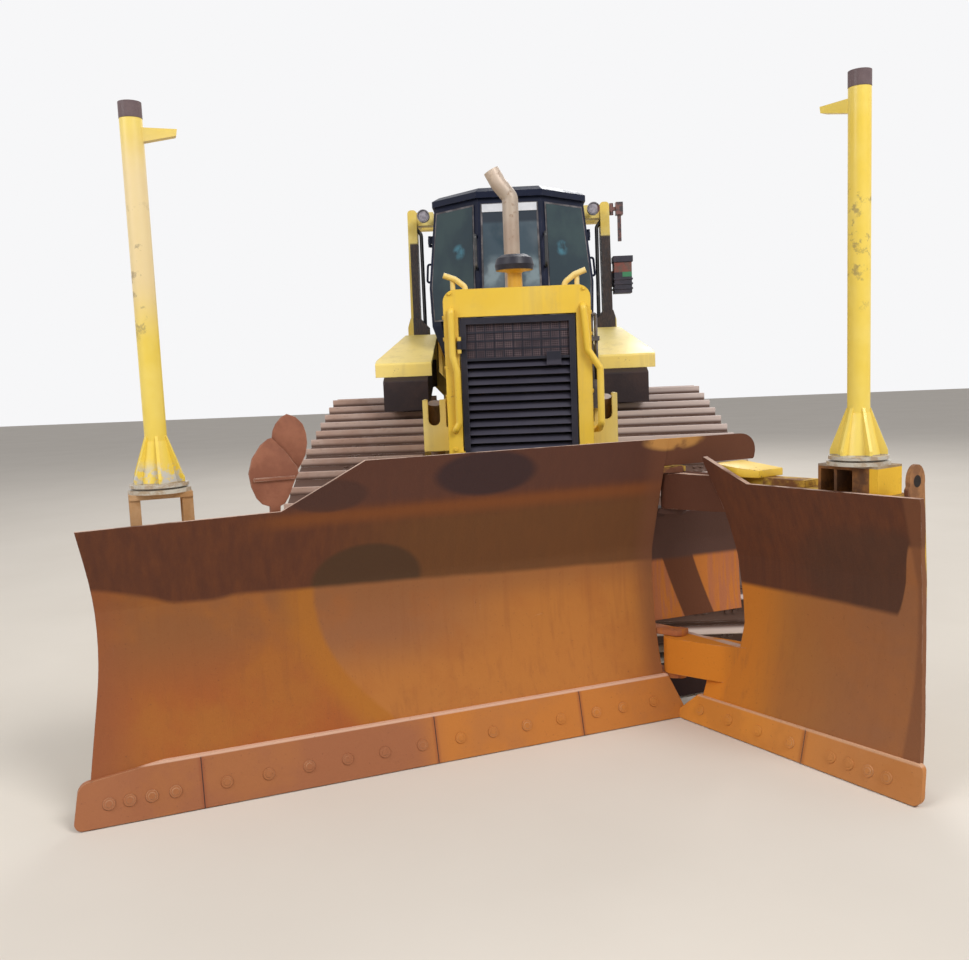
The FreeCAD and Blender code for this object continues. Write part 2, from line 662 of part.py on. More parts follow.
leaf_left = cab_walls.common(door_leaf).cut(door_window)
GRIP_Y = CAB_DOOR_FRONT + 40
GRIP_LOW = CAB_WAIST + 0.39 * (CAB_TOP - CAB_WAIST)
grip = pipe([Vector(628, GRIP_Y, GRIP_LOW), Vector(672, GRIP_Y, GRIP_LOW),
             Vector(662, GRIP_Y, GRIP_LOW + 140), Vector(618, GRIP_Y, GRIP_LOW + 140)], 16.0, 9.0)
sleeves, bores = hinge_sleeves(cab_hinge_x, cab_hinge_y, CAB_HINGES, 590, cab_hinge_y - 40)
leaf_body = cab_walls.common(door_leaf)
outside = [sleeve.cut(cab_outer.cut(leaf_body)) for sleeve in sleeves]
nodes["cab_door_left"] = fused([leaf_left, grip] + outside).cut(bores)
nodes["cab_door_right"] = mirrored(nodes["cab_door_left"])
nodes["cab_door_glass_left"] = pane(door_window)
nodes["cab_door_glass_right"] = mirrored(nodes["cab_door_glass_left"])


def cab_roof():
    lower = [(-250, 30), (250, 30), (600, 390), (600, 1350), (-600, 1350), (-600, 390)]
    upper = [(-225, 75), (225, 75), (545, 420), (545, 1290), (-545, 1290), (-545, 420)]
    wires = []
    for z, points in ((CAB_TOP, lower), (CAB_TOP + 45, lower), (CAB_TOP + 78, upper)):
        placed = [Vector(x, y, z) for x, y in points]
        wires.append(Part.makePolygon(placed + [placed[0]]))
    return Part.makeLoft(wires, True, True)


nodes["cab_roof"] = cab_roof()

# Inside the cab: seat and consoles

inside_floor = CAB_FLOOR + 30


def seat():
    cushion = prism([(560, 2010, 40), (1040, 1985, 40), (1050, 2110, 40), (560, 2130, 50)], "x", -240, 240)
    back = prism([(1000, 2060, 30), (1110, 2060, 30), (1220, 2640, 30), (1130, 2650, 30)], "x", -230, 230)
    head = prism([(1150, 2630, 30), (1225, 2620, 30), (1245, 2800, 26), (1170, 2810, 26)], "x", -140, 140)
    stand = box(-180, 180, 640, 1000, inside_floor, 2020)
    return fused([cushion, back, head, stand])


nodes["seat"] = seat()


def consoles():
    arms = []
    for side in (-1, 1):
        x0 = min(side * 265, side * 385)
        arms.append(prism([(560, inside_floor), (1050, inside_floor), (1050, 2290, 40), (640, 2290, 60)], "x",
                          x0, x0 + 120))
        grip_x = side * 325
        arms.append(rod(16, Vector(grip_x, 690, 2280), Vector(grip_x, 665, 2400)))
        arms.append(rod(26, Vector(grip_x, 668, 2390), Vector(grip_x, 652, 2470)))
    dash = prism([(90, inside_floor), (240, inside_floor), (260, 2170, 40), (110, 2220, 40)], "x", -190, 190)
    return fused([dash]).fuse(arms)


nodes["consoles"] = Part.makeCompound(consoles().Solids)

# Roll-over posts, their cross beam and the platforms over the tracks


def rops():
    post = prism([(ROPS_INNER, FENDER_TOP), (ROPS_OUTER, FENDER_TOP), (ROPS_OUTER - 12, ROPS_TOP, 30),
                  (ROPS_INNER - 12, ROPS_TOP, 30)], "y", ROPS_Y, ROPS_Y + ROPS_DEPTH)
    foot = prism([(ROPS_INNER - 70, FENDER_TOP), (ROPS_OUTER + 25, FENDER_TOP),
                  (ROPS_OUTER + 25, FENDER_TOP + 67), (ROPS_OUTER, FENDER_TOP + 147),
                  (ROPS_INNER, FENDER_TOP + 147), (ROPS_INNER - 70, FENDER_TOP + 67)], "y",
                 ROPS_Y - 30, ROPS_Y + ROPS_DEPTH + 30)
    bracket = box(640, ROPS_INNER + 20, ROPS_Y + 15, ROPS_Y + ROPS_DEPTH - 15, ROPS_TOP - 130, ROPS_TOP - 20)
    beam = prism([(-ROPS_INNER - 10, ROPS_TOP - 120), (ROPS_INNER + 10, ROPS_TOP - 120),
                  (ROPS_INNER + 10, ROPS_TOP - 5, 20), (-ROPS_INNER - 10, ROPS_TOP - 5, 20)], "y",
                 1400, 1500)
    link = box(ROPS_INNER - 30, ROPS_OUTER - 30, ROPS_Y + ROPS_DEPTH - 1, 1500, ROPS_TOP - 120, ROPS_TOP - 5)
    side = fused([post, foot, bracket, link])
    return fused([side, mirrored(side), beam])


nodes["rops"] = rops()


def fender():
    """A folded platform that slopes up from its front lip, over a box that fills the corner."""
    under = FENDER_TOP - PLATE
    side = [(100, 1735), (125, 1735), (125, 1815), (960, under), (1760, under), (1760, 1700), (1785, 1700),
            (1785, FENDER_TOP, 30), (950, FENDER_TOP), (100, 1840, 20)]
    sheet = prism(side, "x", FENDER_INNER, 1075)
    plan = [(600, 50), (1075, 50), (1075, 190), (915, 940), (915, 1900), (600, 1900)]
    sheet = sheet.common(prism(plan, "z", 1600, 2200))
    skirt_side = [(126, 1745), (960, 1985), (1759, 1985), (1759, under), (961, under), (126, 1814)]
    skirt = prism(skirt_side, "x", FENDER_INNER, 1100)
    skirt = skirt.common(prism([(1062, 126), (1062, 189), (902, 939), (902, 1759), (915, 1759), (915, 940),
                                (1075, 190), (1075, 126)], "z", 1600, 2200))
    return fused([sheet, skirt])


nodes["fenders"] = both(fender())


def corner_box():
    lip = 1735 - SEAT
    rear = ROPS_Y - SEAT
    side = [(20, 1475), (20, 1700, 10), (100, lip), (126, lip), (560, 1866), (rear, 1870), (rear, 1640), (900, 1640),
            (560, 1640), (300, 1560)]
    return prism(side, "x", 668, 1010)


nodes["corner_boxes"] = both(corner_box())

# Rear: fuel tank, drawbar


def fuel_tank():
    side = [(1420, CASE_TOP), (1660, CASE_TOP), (1700, 1490, 30), (1800, 1490, 40), (2010, 1580, 80),
            (2010, 2260, 120), (1560, 2330, 60), (1420, 2330)]
    return prism(side, "x", -FENDER_INNER, FENDER_INNER)


nodes["fuel_tank"] = fuel_tank()

DRAWBAR_Y = 2150.0
DRAWBAR_Z = 560.0
DRAWBAR_BORE = 27.5
DRAWBAR_EAR = 40.0
DRAWBAR_GAP = 90.0


def drawbar():
    plan = [(-260, HULL_REAR), (260, HULL_REAR), (110, DRAWBAR_Y + 80, 60), (-110, DRAWBAR_Y + 80, 60)]
    half = DRAWBAR_GAP / 2
    ears = [prism(plan, "z", DRAWBAR_Z + half, DRAWBAR_Z + half + DRAWBAR_EAR),
            prism(plan, "z", DRAWBAR_Z - half - DRAWBAR_EAR, DRAWBAR_Z - half)]
    rear_plate = box(-300, 300, HULL_REAR, HULL_REAR + 60, DRAWBAR_Z - half - 80, 900)
    bar = fused(ears + [rear_plate])
    return bar.cut(rod(DRAWBAR_BORE, Vector(0, DRAWBAR_Y, DRAWBAR_Z - 200), Vector(0, DRAWBAR_Y, DRAWBAR_Z + 200)))


nodes["drawbar"] = drawbar()

# Push frame: two arms, a vee plate to the nose, and the ears that hold the ball's upright pin

NOSE_HALF = 75.0
EAR_OFF = 95.0
EAR_THICK = 40.0
BALL_RADIUS = 82.0
BALL_PIN = 45.0
ANGLE_ROOT_X = 475.0
ANGLE_ROOT_Y = -1750.0
ANGLE_LEVER = 480.0
ANGLE_BEHIND = 20.0
ANGLE_PIN = 24.0
LIFT_PIN = 24.0
EYE_HALF = 28.0
EAR_GAP = 4.0
EAR_SHEET = 16.0
PIN_HEAD = 34.0
PIN_HEAD_TALL = 12.0


def push_arm():
    outline = [(100, 705), (-1300, 478), (-2060, ARM_TOP), (-2060, ARM_BOTTOM), (-1350, ARM_BOTTOM), (100, 495)]
    arm = prism(outline, "x", ARM_INNER, ARM_OUTER)
    pivot = Vector(ARM_INNER, PUSH_PIVOT_Y, PUSH_PIVOT_Z)
    arm = arm.fuse(rod(105, pivot, pivot + Vector(ARM_OUTER - ARM_INNER, 0, 0)))
    arm = arm.cut(rod(55 + RUNNING, pivot - Vector(1, 0, 0), pivot + Vector(ARM_OUTER, 0, 0)))
    parts = [arm]
    ear = [(LIFT_EYE_Y - 90, 440), (LIFT_EYE_Y + 90, 440), (LIFT_EYE_Y + 45, LIFT_EYE_Z + 45, 30),
           (LIFT_EYE_Y - 45, LIFT_EYE_Z + 45, 30)]
    reach = EYE_HALF + EAR_GAP
    for x0 in (LIFT_X - reach - EAR_SHEET, LIFT_X + reach):
        parts.append(prism(ear, "x", x0, x0 + EAR_SHEET))
    for end in (-1, 1):
        face = Vector(LIFT_X + end * (reach + EAR_SHEET), LIFT_EYE_Y, LIFT_EYE_Z)
        parts.append(rod(PIN_HEAD, face - Vector(end, 0, 0), face + Vector(end * PIN_HEAD_TALL, 0, 0)))
    x0 = ANGLE_ROOT_X - 58
    parts.append(box(x0, ARM_OUTER, ANGLE_ROOT_Y - 60, ANGLE_ROOT_Y + 80, ARM_TOP - 30, ARM_TOP))
    parts.append(box(x0, ARM_OUTER, ANGLE_ROOT_Y - 60, ANGLE_ROOT_Y + 80, 560, 580))
    parts.append(box(x0, ARM_OUTER, ANGLE_ROOT_Y + 60, ANGLE_ROOT_Y + 80, ARM_TOP - 1, 561))
    root = Vector(ANGLE_ROOT_X, ANGLE_ROOT_Y, 0)
    parts.append(rod(ANGLE_PIN, root + Vector(0, 0, ARM_TOP - 1), root + Vector(0, 0, 590)))
    return fused(parts)


def push_frame():
    arm = push_arm()
    vee = [(560, -2030), (560, -2110), (95, BALL_Y + 100), (-95, BALL_Y + 100), (-560, -2110), (-560, -2030),
           (-450, -2000), (-60, -2360, 40), (60, -2360, 40), (450, -2000)]
    plate = prism(vee, "z", ARM_BOTTOM, ARM_TOP)
    nose_rear = BALL_Y + 240
    nose = box(-NOSE_HALF, NOSE_HALF, BALL_Y + 90, nose_rear, ARM_BOTTOM, BALL_Z + EAR_OFF + EAR_THICK)
    parts = [arm, mirrored(arm), plate, nose]
    for low in (BALL_Z - EAR_OFF - EAR_THICK, BALL_Z + EAR_OFF):
        parts.append(box(-NOSE_HALF, NOSE_HALF, BALL_Y, BALL_Y + 95, low, low + EAR_THICK))
        parts.append(rod(NOSE_HALF, Vector(0, BALL_Y, low), Vector(0, BALL_Y, low + EAR_THICK)))
    return fused(parts).cut(rod(BALL_PIN + RUNNING, Vector(0, BALL_Y, 200), Vector(0, BALL_Y, 700)))


nodes["push_frame"] = push_frame()

# Forked towers beside the guard and the lift cylinders that hang in them


def lift_tower():
    x0 = GUARD_HALF + 20
    x1 = 565.0
    front = LIFT_TOP_Y - 142
    side = [(front, 1300), (LIFT_TOP_Y + 100, 1300), (LIFT_TOP_Y + 100, 1520, 30), (LIFT_TOP_Y + 40, 1600, 40),
            (front, 1600, 10)]
    bore = rod(LIFT_PIN + RUNNING, Vector(x0 - 1, LIFT_TOP_Y, LIFT_TOP_Z), Vector(x1 + 1, LIFT_TOP_Y, LIFT_TOP_Z))
    face = box(x0, x1, front, front + 20, 1300, 1600)
    fork = prism([(LIFT_X - 34, 1450, 33), (LIFT_X + 34, 1450, 33), (LIFT_X + 34, 1700), (LIFT_X - 34, 1700)], "y",
                 front - 1, front + 21)
    plates = [prism(side, "x", x0, x0 + 16), prism(side, "x", x1 - 16, x1), face.cut(fork)]
    pad = box(GUARD_HALF, x0 + 1, front, LIFT_TOP_Y + 90, 1300, 1440)
    return fused(plates + [pad]).cut(bore)


nodes["lift_towers"] = both(lift_tower())


def cylinder_barrel(anchor, eye, radius, bore, head, reach, bore_start):
    """Barrel from behind its anchor towards the eye, with a gland ring and an open bore."""
    along = (eye - anchor).normalize()
    shell = rod(radius, anchor - along * head, anchor + along * reach)
    gland = rod(radius + 6, anchor + along * (reach - 55), anchor + along * reach)
    hollow = rod(bore, anchor + along * bore_start, anchor + along * (reach + 1))
    return shell.fuse(gland), hollow


def cylinder_rod(anchor, eye, radius, reach, eye_radius, eye_half, pin, pin_axis):
    """Rod with an eye at its end, whose pin stands out to just short of the ears."""
    along = (eye - anchor).normalize()
    bar = rod(radius, eye - along * reach, eye)
    ring = rod(eye_radius, eye - pin_axis * eye_half, eye + pin_axis * eye_half)
    pin_half = eye_half + EAR_GAP - SEAT
    stub = rod(pin, eye - pin_axis * pin_half, eye + pin_axis * pin_half)
    return fused([bar, ring, stub])


lift_anchor = Vector(LIFT_X, LIFT_TOP_Y, LIFT_TOP_Z)
lift_eye = Vector(LIFT_X, LIFT_EYE_Y, LIFT_EYE_Z)
LIFT_ROD = 26.0
barrel, hollow = cylinder_barrel(lift_anchor, lift_eye, 44.0, LIFT_ROD + RUNNING, 84.0, 515.0, -40.0)
trunnions = rod(LIFT_PIN, lift_anchor - Vector(68, 0, 0), lift_anchor + Vector(63, 0, 0))
nodes["lift_barrels"] = both(barrel.fuse(trunnions).cut(hollow).removeSplitter())
nodes["lift_rods"] = both(cylinder_rod(lift_anchor, lift_eye, LIFT_ROD, 650.0, 40.0, EYE_HALF, LIFT_PIN,
                                       Vector(1, 0, 0)))

# Blade carrier: the ball with its upright pin in the nose, a column above it for the tilt
# cylinder, and the forward trunnion that the blade tilts on. Made straight, about the ball.

TRUNNION = 50.0
SOCKET_BOTTOM = 161.0
COLUMN_TOP = 935.0
TILT_Z = 880.0
TILT_Y = 66.0
TILT_REACH = 620.0
TILT_PIN = 24.0


def blade_carrier():
    reach = EAR_OFF + EAR_THICK + 12
    ball = Part.makeSphere(BALL_RADIUS, Vector(0, 0, BALL_Z))
    upright = rod(BALL_PIN, Vector(0, 0, BALL_Z - reach + 12), Vector(0, 0, BALL_Z + reach))
    trunnion = rod(TRUNNION, Vector(0, SOCKET_BOTTOM + 2 - BALL_BEHIND, BALL_Z), Vector(0, 0, BALL_Z))
    column = prism([(-60, BALL_Z + reach - 1), (60, BALL_Z + reach - 1), (45, COLUMN_TOP, 30),
                    (-45, COLUMN_TOP, 30)], "y", -50, 14)
    pin = rod(TILT_PIN, Vector(0, 13, TILT_Z), Vector(0, TILT_Y + 45, TILT_Z))
    cap = rod(TILT_PIN + 14, Vector(0, TILT_Y + 38, TILT_Z), Vector(0, TILT_Y + 48, TILT_Z))
    return fused([ball, upright, trunnion, column, pin, cap])


# Blade: one curved plate section, cut to the outline of each part. Places along it are from the
# right end, and "behind" is behind the line of the cutting edge's tip.


def along(distance):
    return distance - BALL_ALONG


def behind(distance):
    return distance - BALL_BEHIND


SECTION_FOOT = (55.0, 165.0)
SECTION_MIDDLE = (140.0, 500.0)
SECTION_KINK = (150.0, 850.0)
SECTION_TOP = (-30.0, 1430.0)


def section_plate(start, end, set_back):
    """The curved section of the blade as a plate between two places along it."""
    rows = []
    for depth in (set_back, set_back + PLATE_BLADE):
        rows.append([Vector(along(start), behind(y + depth), z)
                     for y, z in (SECTION_FOOT, SECTION_MIDDLE, SECTION_KINK, SECTION_TOP)])
    front, back = rows
    edges = [Part.Arc(front[0], front[1], front[2]).toShape(),
             Part.LineSegment(front[2], front[3]).toShape(),
             Part.LineSegment(front[3], back[3]).toShape(),
             Part.LineSegment(back[3], back[2]).toShape(),
             Part.Arc(back[2], back[1], back[0]).toShape(),
             Part.LineSegment(back[0], front[0]).toShape()]
    return Part.Face(Part.Wire(edges)).extrude(Vector(end - start, 0, 0))


def cut_plate(outline, set_back):
    """The curved plate inside an outline of (along, height, corner radius) points."""
    places = [point[0] for point in outline]
    plate = section_plate(min(places) - 10, max(places) + 10, set_back)
    shifted = [(along(point[0]),) + tuple(point[1:]) for point in outline]
    return plate.common(prism(shifted, "y", behind(-300), behind(500)))


def beam(rows, start, end):
    """A straight beam behind the plate with its section as (behind, height) rows."""
    return prism([(behind(y), z) for y, z in rows], "x", along(start), along(end))


LOWER_BEAM = [(72, 168), (131, 385), (280, 385), (280, 168)]
UPPER_BEAM = [(122, 1000), (77, 1150), (280, 1150), (280, 1000)]
RIB = [(72, 168), (131, 385), (152, 500), (162, 850), (122, 1000), (255, 1010), (255, 380), (255, 168)]
POCKET_GAP = 110.0
POCKET_ROOM = 80.0
FOLD_SHIFT = HINGE_BEHIND * math.tan(math.radians(FOLD_ANGLE / 2))
FOLD_ALONG = BLADE_LENGTH + FOLD_SHIFT
FOLD_PIN = 32.0
TONGUES = [(222.0, 402.0), (1050.0, 1222.0)]
KNUCKLE = 80.0
EAR_PLATE = 28.0
TONGUE_PLAY = 3.0
FIRST_RIB = 175.0
END_RIB = BLADE_LENGTH - 131
STEP_FOOT = 0.323 * BLADE_LENGTH
STEP_TOP = 0.451 * BLADE_LENGTH
BAND_SET_BACK = 27.0


def blade():
    end = BLADE_LENGTH - 46
    tip = BLADE_LENGTH + 490
    outline = [(74, 168), (end, 168), (end, 1399), (STEP_TOP, 1399), (STEP_FOOT, 1204), (97, 1194),
               (166, 770, 1800)]
    parts = [cut_plate(outline, 0)]
    for low, high, corner in ((465, 1015, 20), (1262, 1396, 110)):
        band = [(end - 100, low), (tip, low, 10), (tip, high, corner), (end - 100, high)]
        packer = [(end - 100, low + 8), (end - 10, low + 8), (end - 10, high - 8), (end - 100, high - 8)]
        parts += [cut_plate(band, BAND_SET_BACK), cut_plate(packer, BAND_SET_BACK / 2)]
    gap = 330.0
    for start, end in ((FIRST_RIB, BALL_ALONG - gap), (BALL_ALONG + gap, END_RIB)):
        parts.append(beam(LOWER_BEAM, start, end))
    parts.append(beam(UPPER_BEAM, FIRST_RIB, END_RIB))
    for place in (FIRST_RIB, 650.0, 1190.0, BALL_ALONG - gap, BALL_ALONG + gap):
        parts.append(beam(RIB, place, place + PLATE))
    for side in (-1, 1):
        middle = side * ANGLE_LEVER
        parts.append(box(middle - 80, middle + 80, behind(158), behind(345), BALL_Z + POCKET_GAP,
                         BALL_Z + POCKET_GAP + PLATE))
        parts.append(box(middle - 80, middle + 80, behind(270), behind(345), BALL_Z - POCKET_GAP - PLATE,
                         BALL_Z - POCKET_GAP))
        for end in (-1, 1):
            face = Vector(middle, ANGLE_BEHIND, BALL_Z + end * (POCKET_GAP + PLATE))
            parts.append(rod(PIN_HEAD, face - Vector(0, 0, end), face + Vector(0, 0, end * PIN_HEAD_TALL)))
    boss = rod(TRUNNION + 34, Vector(0, behind(SOCKET_BOTTOM - 5), BALL_Z), Vector(0, behind(186), BALL_Z))
    parts.append(boss)
    parts.append(box(-TILT_REACH - 60, -TILT_REACH + 60, behind(240), behind(385), 985, 1012))
    reach = EYE_HALF + EAR_GAP
    for y in (TILT_Y - reach - EAR_SHEET, TILT_Y + reach):
        parts.append(prism([(-TILT_REACH - 60, 986), (-TILT_REACH + 60, 986), (-TILT_REACH + 45, TILT_Z - 45, 30),
                            (-TILT_REACH - 45, TILT_Z - 45, 30)], "y", y, y + EAR_SHEET))
    for end in (-1, 1):
        face = Vector(-TILT_REACH, TILT_Y + end * (reach + EAR_SHEET), TILT_Z)
        parts.append(rod(PIN_HEAD - 6, face - Vector(0, end, 0), face + Vector(0, end * PIN_HEAD_TALL, 0)))
    hub_x = along(FOLD_ALONG)
    hub_y = behind(HINGE_BEHIND)
    root_x = along(END_RIB - 15)
    for low, high in TONGUES:
        for z in (low - TONGUE_PLAY - EAR_PLATE, high + TONGUE_PLAY):
            ear = prism([(root_x, behind(30)), (hub_x, behind(8)), (hub_x + 52, hub_y), (hub_x, behind(112)),
                         (root_x + 120, behind(280)), (root_x, behind(280))], "z", z, z + EAR_PLATE)
            parts.append(ear)
        parts.append(rod(FOLD_PIN, Vector(hub_x, hub_y, low - TONGUE_PLAY - EAR_PLATE - 4),
                         Vector(hub_x, hub_y, high + TONGUE_PLAY + EAR_PLATE + 4)))
    post = beam([(155, 385), (170, 850), (126, 1000), (280, 1000), (280, 385)], END_RIB - 16, END_RIB)
    parts.append(beam([(262, 384), (262, 1001), (280, 1001), (280, 384)], END_RIB - 1, END_RIB + 105))
    parts.append(post.cut(box(along(END_RIB - 55), along(END_RIB + 45), behind(0), behind(265), 385, 640)))
    body = fused(parts)
    socket = rod(TRUNNION + RUNNING, Vector(0, behind(SOCKET_BOTTOM), BALL_Z), Vector(0, behind(200), BALL_Z))
    body = body.cut(socket)
    for side in (-1, 1):
        low = Vector(side * ANGLE_LEVER, ANGLE_BEHIND, BALL_Z - POCKET_GAP + 10)
        body = body.cut(rod(POCKET_ROOM, low, low + Vector(0, 0, 2 * POCKET_GAP - 20)))
    for low, high in TONGUES:
        clear = KNUCKLE + 5
        room = rod(clear, Vector(hub_x, hub_y, low - TONGUE_PLAY), Vector(hub_x, hub_y, high + TONGUE_PLAY))
        room = room.cut(rod(FOLD_PIN, Vector(hub_x, hub_y, low - 10), Vector(hub_x, hub_y, high + 10)))
        body = body.cut(room)
    return body


def cutting_edge(outline):
    """Flat edge plate bolted under the blade, leaning back from its tip."""
    places = [point[0] for point in outline]
    start = min(places)
    end = max(places)
    plate = beam([(0, 4), (26, 4), (80, 216), (54, 216)], start, end)
    shifted = [(along(x), z) for x, z in outline]
    return plate.common(prism(shifted, "y", behind(-50), behind(200)))


MAST_RADIUS = 44.5
MAST_HEIGHT = 1557.0
MAST_BASE = 1312.0
MAST_PLACE = 436.0
MAST_BEHIND = 196.0
WING_MAST_PLACE = 913.0
WING_MAST_BEHIND = 146.0


def mast(place, depth, base):
    """Round post on a flanged foot with four gussets, a threaded cap and a hook near its top."""
    x = along(place)
    y = behind(depth)
    top = base + MAST_HEIGHT
    parts = [rod(MAST_RADIUS, Vector(x, y, base), Vector(x, y, top)),
             rod(MAST_RADIUS + 1, Vector(x, y, top - 62), Vector(x, y, top)),
             rod(125, Vector(x, y, base), Vector(x, y, base + 16)),
             rod(118, Vector(x, y, base + 24), Vector(x, y, base + 38)),
             rod(95, Vector(x, y, base + 15), Vector(x, y, base + 25)),
             Part.makeCone(84, MAST_RADIUS + 2, 175, Vector(x, y, base + 37))]
    for turn in range(6):
        gusset = prism([(0, base + 37), (112, base + 37), (112, base + 60), (MAST_RADIUS + 2, base + 232),
                        (0, base + 232)], "y", -6, 6)
        gusset.rotate(Vector(0, 0, 0), Vector(0, 0, 1), 60 * turn + 30)
        gusset.translate(Vector(x, y, 0))
        parts.append(gusset)
    return parts, top


def mast_hook(place, depth, side):
    x = along(place)
    y = behind(depth)
    z = MAST_BASE + MAST_HEIGHT - 190
    arm = [(0, z + 28), (side * 168, z + 66), (side * 172, z + 92), (0, z + 92)]
    hook = prism(arm, "y", -22, 22)
    hook.translate(Vector(x, y, 0))
    return hook


def right_mast():
    parts, top = mast(MAST_PLACE, MAST_BEHIND, MAST_BASE)
    return fused(parts + [mast_hook(MAST_PLACE, MAST_BEHIND, 1)])


def mast_stand():
    x = along(MAST_PLACE)
    y = behind(MAST_BEHIND)
    plate = box(x - 125, x + 125, y - 80, y + 80, MAST_BASE - 22, MAST_BASE)
    legs = [box(x + i * 103 - 22, x + i * 103 + 22, y + j * 60 - 12, y + j * 60 + 12, 1150, MAST_BASE - 21)
            for i in (-1, 1) for j in (-1, 1)]
    return fused([plate] + legs)


def lock_plates():
    """Two round lock plates for the folded wing, stood on the upper beam."""
    lobes = []
    for place, height, radius, depth in ((895, 1340, 112, 84), (952, 1478, 112, 106)):
        lobes.append(rod(radius, Vector(along(place), behind(depth), height),
                         Vector(along(place), behind(depth + 23), height)))
    foot = box(along(820), along(960), behind(84), behind(150), 1150, 1175)
    stem = box(along(850), along(940), behind(84), behind(107), 1174, 1300)
    rib = box(along(883), along(907), behind(106), behind(150), 1174, 1400)
    return fused(lobes + [foot, stem, rib])


WING_END = 1226.0


def wing():
    shift = BLADE_LENGTH + 2 * FOLD_SHIFT
    outline = [(142, 168), (WING_END, 168), (WING_END, 1206), (395, 1200), (150, 1315, 12), (196, 1215),
               (212, 1105), (262, 955, 60), (366, 870, 120), (366, 650, 90), (318, 545, 40), (308, 404),
               (120, 402), (120, 222)]
    parts = [cut_plate([(point[0] + shift,) + tuple(point[1:]) for point in outline], 0)]
    parts.append(beam(LOWER_BEAM, shift + 470, shift + WING_END - 65))
    parts.append(beam(UPPER_BEAM, shift + 470, shift + WING_END - 65))
    side = [(72, 168), (131, 385), (152, 500), (162, 850), (122, 1000), (57, 1205), (45, 1290), (205, 1290),
            (205, 1180), (218, 850), (208, 500), (187, 385), (128, 168)]
    ear = rod(80, Vector(along(shift + WING_END - 18), behind(125), 1290),
              Vector(along(shift + WING_END), behind(125), 1290))
    hole = rod(22, Vector(along(shift + WING_END - 19), behind(125), 1290),
               Vector(along(shift + WING_END + 1), behind(125), 1290))
    parts.append(beam(side, shift + WING_END - 18, shift + WING_END).fuse(ear).cut(hole))
    for place in (480.0, 850.0, WING_END - 90):
        parts.append(beam(RIB, shift + place, shift + place + PLATE))
    hub_x = along(FOLD_ALONG)
    hub_y = behind(HINGE_BEHIND)
    half = KNUCKLE
    for low, high in TONGUES:
        reach = along(shift + 200)
        far = along(shift + 490)
        tongue = prism([(hub_x, hub_y - half), (reach, behind(62)), (reach + 60, behind(130)), (far, behind(150)),
                        (far, behind(250)), (reach, behind(190)), (hub_x + 90, hub_y + half), (hub_x, hub_y + half)],
                       "z", low, high)
        eye = rod(half, Vector(hub_x, hub_y, low), Vector(hub_x, hub_y, high))
        bore = rod(FOLD_PIN + RUNNING, Vector(hub_x, hub_y, low - 1), Vector(hub_x, hub_y, high + 1))
        parts.append(tongue.fuse(eye).cut(bore))
    return fused(parts)


def wing_mast():
    shift = BLADE_LENGTH + 2 * FOLD_SHIFT
    parts, top = mast(WING_MAST_PLACE + shift, WING_MAST_BEHIND, MAST_BASE)
    return fused(parts + [mast_hook(WING_MAST_PLACE + shift, WING_MAST_BEHIND, -1)])


def wing_mast_box():
    """Open box bracket under the mast."""
    shift = BLADE_LENGTH + 2 * FOLD_SHIFT
    x0 = along(shift + 765)
    x1 = along(shift + 1045)
    y0 = behind(81)
    y1 = behind(245)
    plate = box(x0, x1, y0, y1, MAST_BASE - 20, MAST_BASE)
    webs = [box(x, x + wide, y0, y1, 1150, MAST_BASE - 19)
            for x, wide in ((x0, 14), (x0 + 78, 14), (x1 - 115, 115))]
    back = box(x0, x1, y1 - 14, y1, 1150, MAST_BASE - 19)
    return fused([plate, back] + webs)


def placed(shape, folded):
    """Fold a piece of the wing, then angle the blade and put its ball on the nose."""
    result = shape.copy()
    if folded:
        hub = Vector(along(FOLD_ALONG), behind(HINGE_BEHIND), 0)
        result.rotate(hub, Vector(0, 0, 1), -FOLD_ANGLE)
    result.rotate(Vector(0, 0, 0), Vector(0, 0, 1), BLADE_ANGLE)
    result.translate(Vector(0, BALL_Y, 0))
    return result


MAIN_EDGE = [(0, 4), (14, 60), (22, 216), (BLADE_LENGTH - 30, 216), (BLADE_LENGTH + 42, 40),
             (BLADE_LENGTH + 26, 4)]
WING_EDGE = [(16, 4), (20, 60), (142, 216), (WING_END + 28, 216), (WING_END + 64, 4)]
wing_shift = BLADE_LENGTH + 2 * FOLD_SHIFT
main_edge = cutting_edge(MAIN_EDGE)
outer_edge = cutting_edge([(x + wing_shift, z) for x, z in WING_EDGE])
nodes["blade_carrier"] = placed(blade_carrier(), False)
nodes["blade"] = placed(blade().cut(main_edge), False)
nodes["blade_edge"] = placed(main_edge, False)
nodes["right_mast"] = placed(right_mast(), False)
nodes["mast_stand"] = placed(mast_stand(), False)
nodes["lock_plates"] = placed(lock_plates(), False)
nodes["wing"] = placed(wing().cut(outer_edge), True)
nodes["wing_edge"] = placed(outer_edge, True)
nodes["left_mast"] = placed(wing_mast(), True)
nodes["left_mast_box"] = placed(wing_mast_box(), True)

# Tilt cylinder, between the carrier's column and the bracket behind the blade

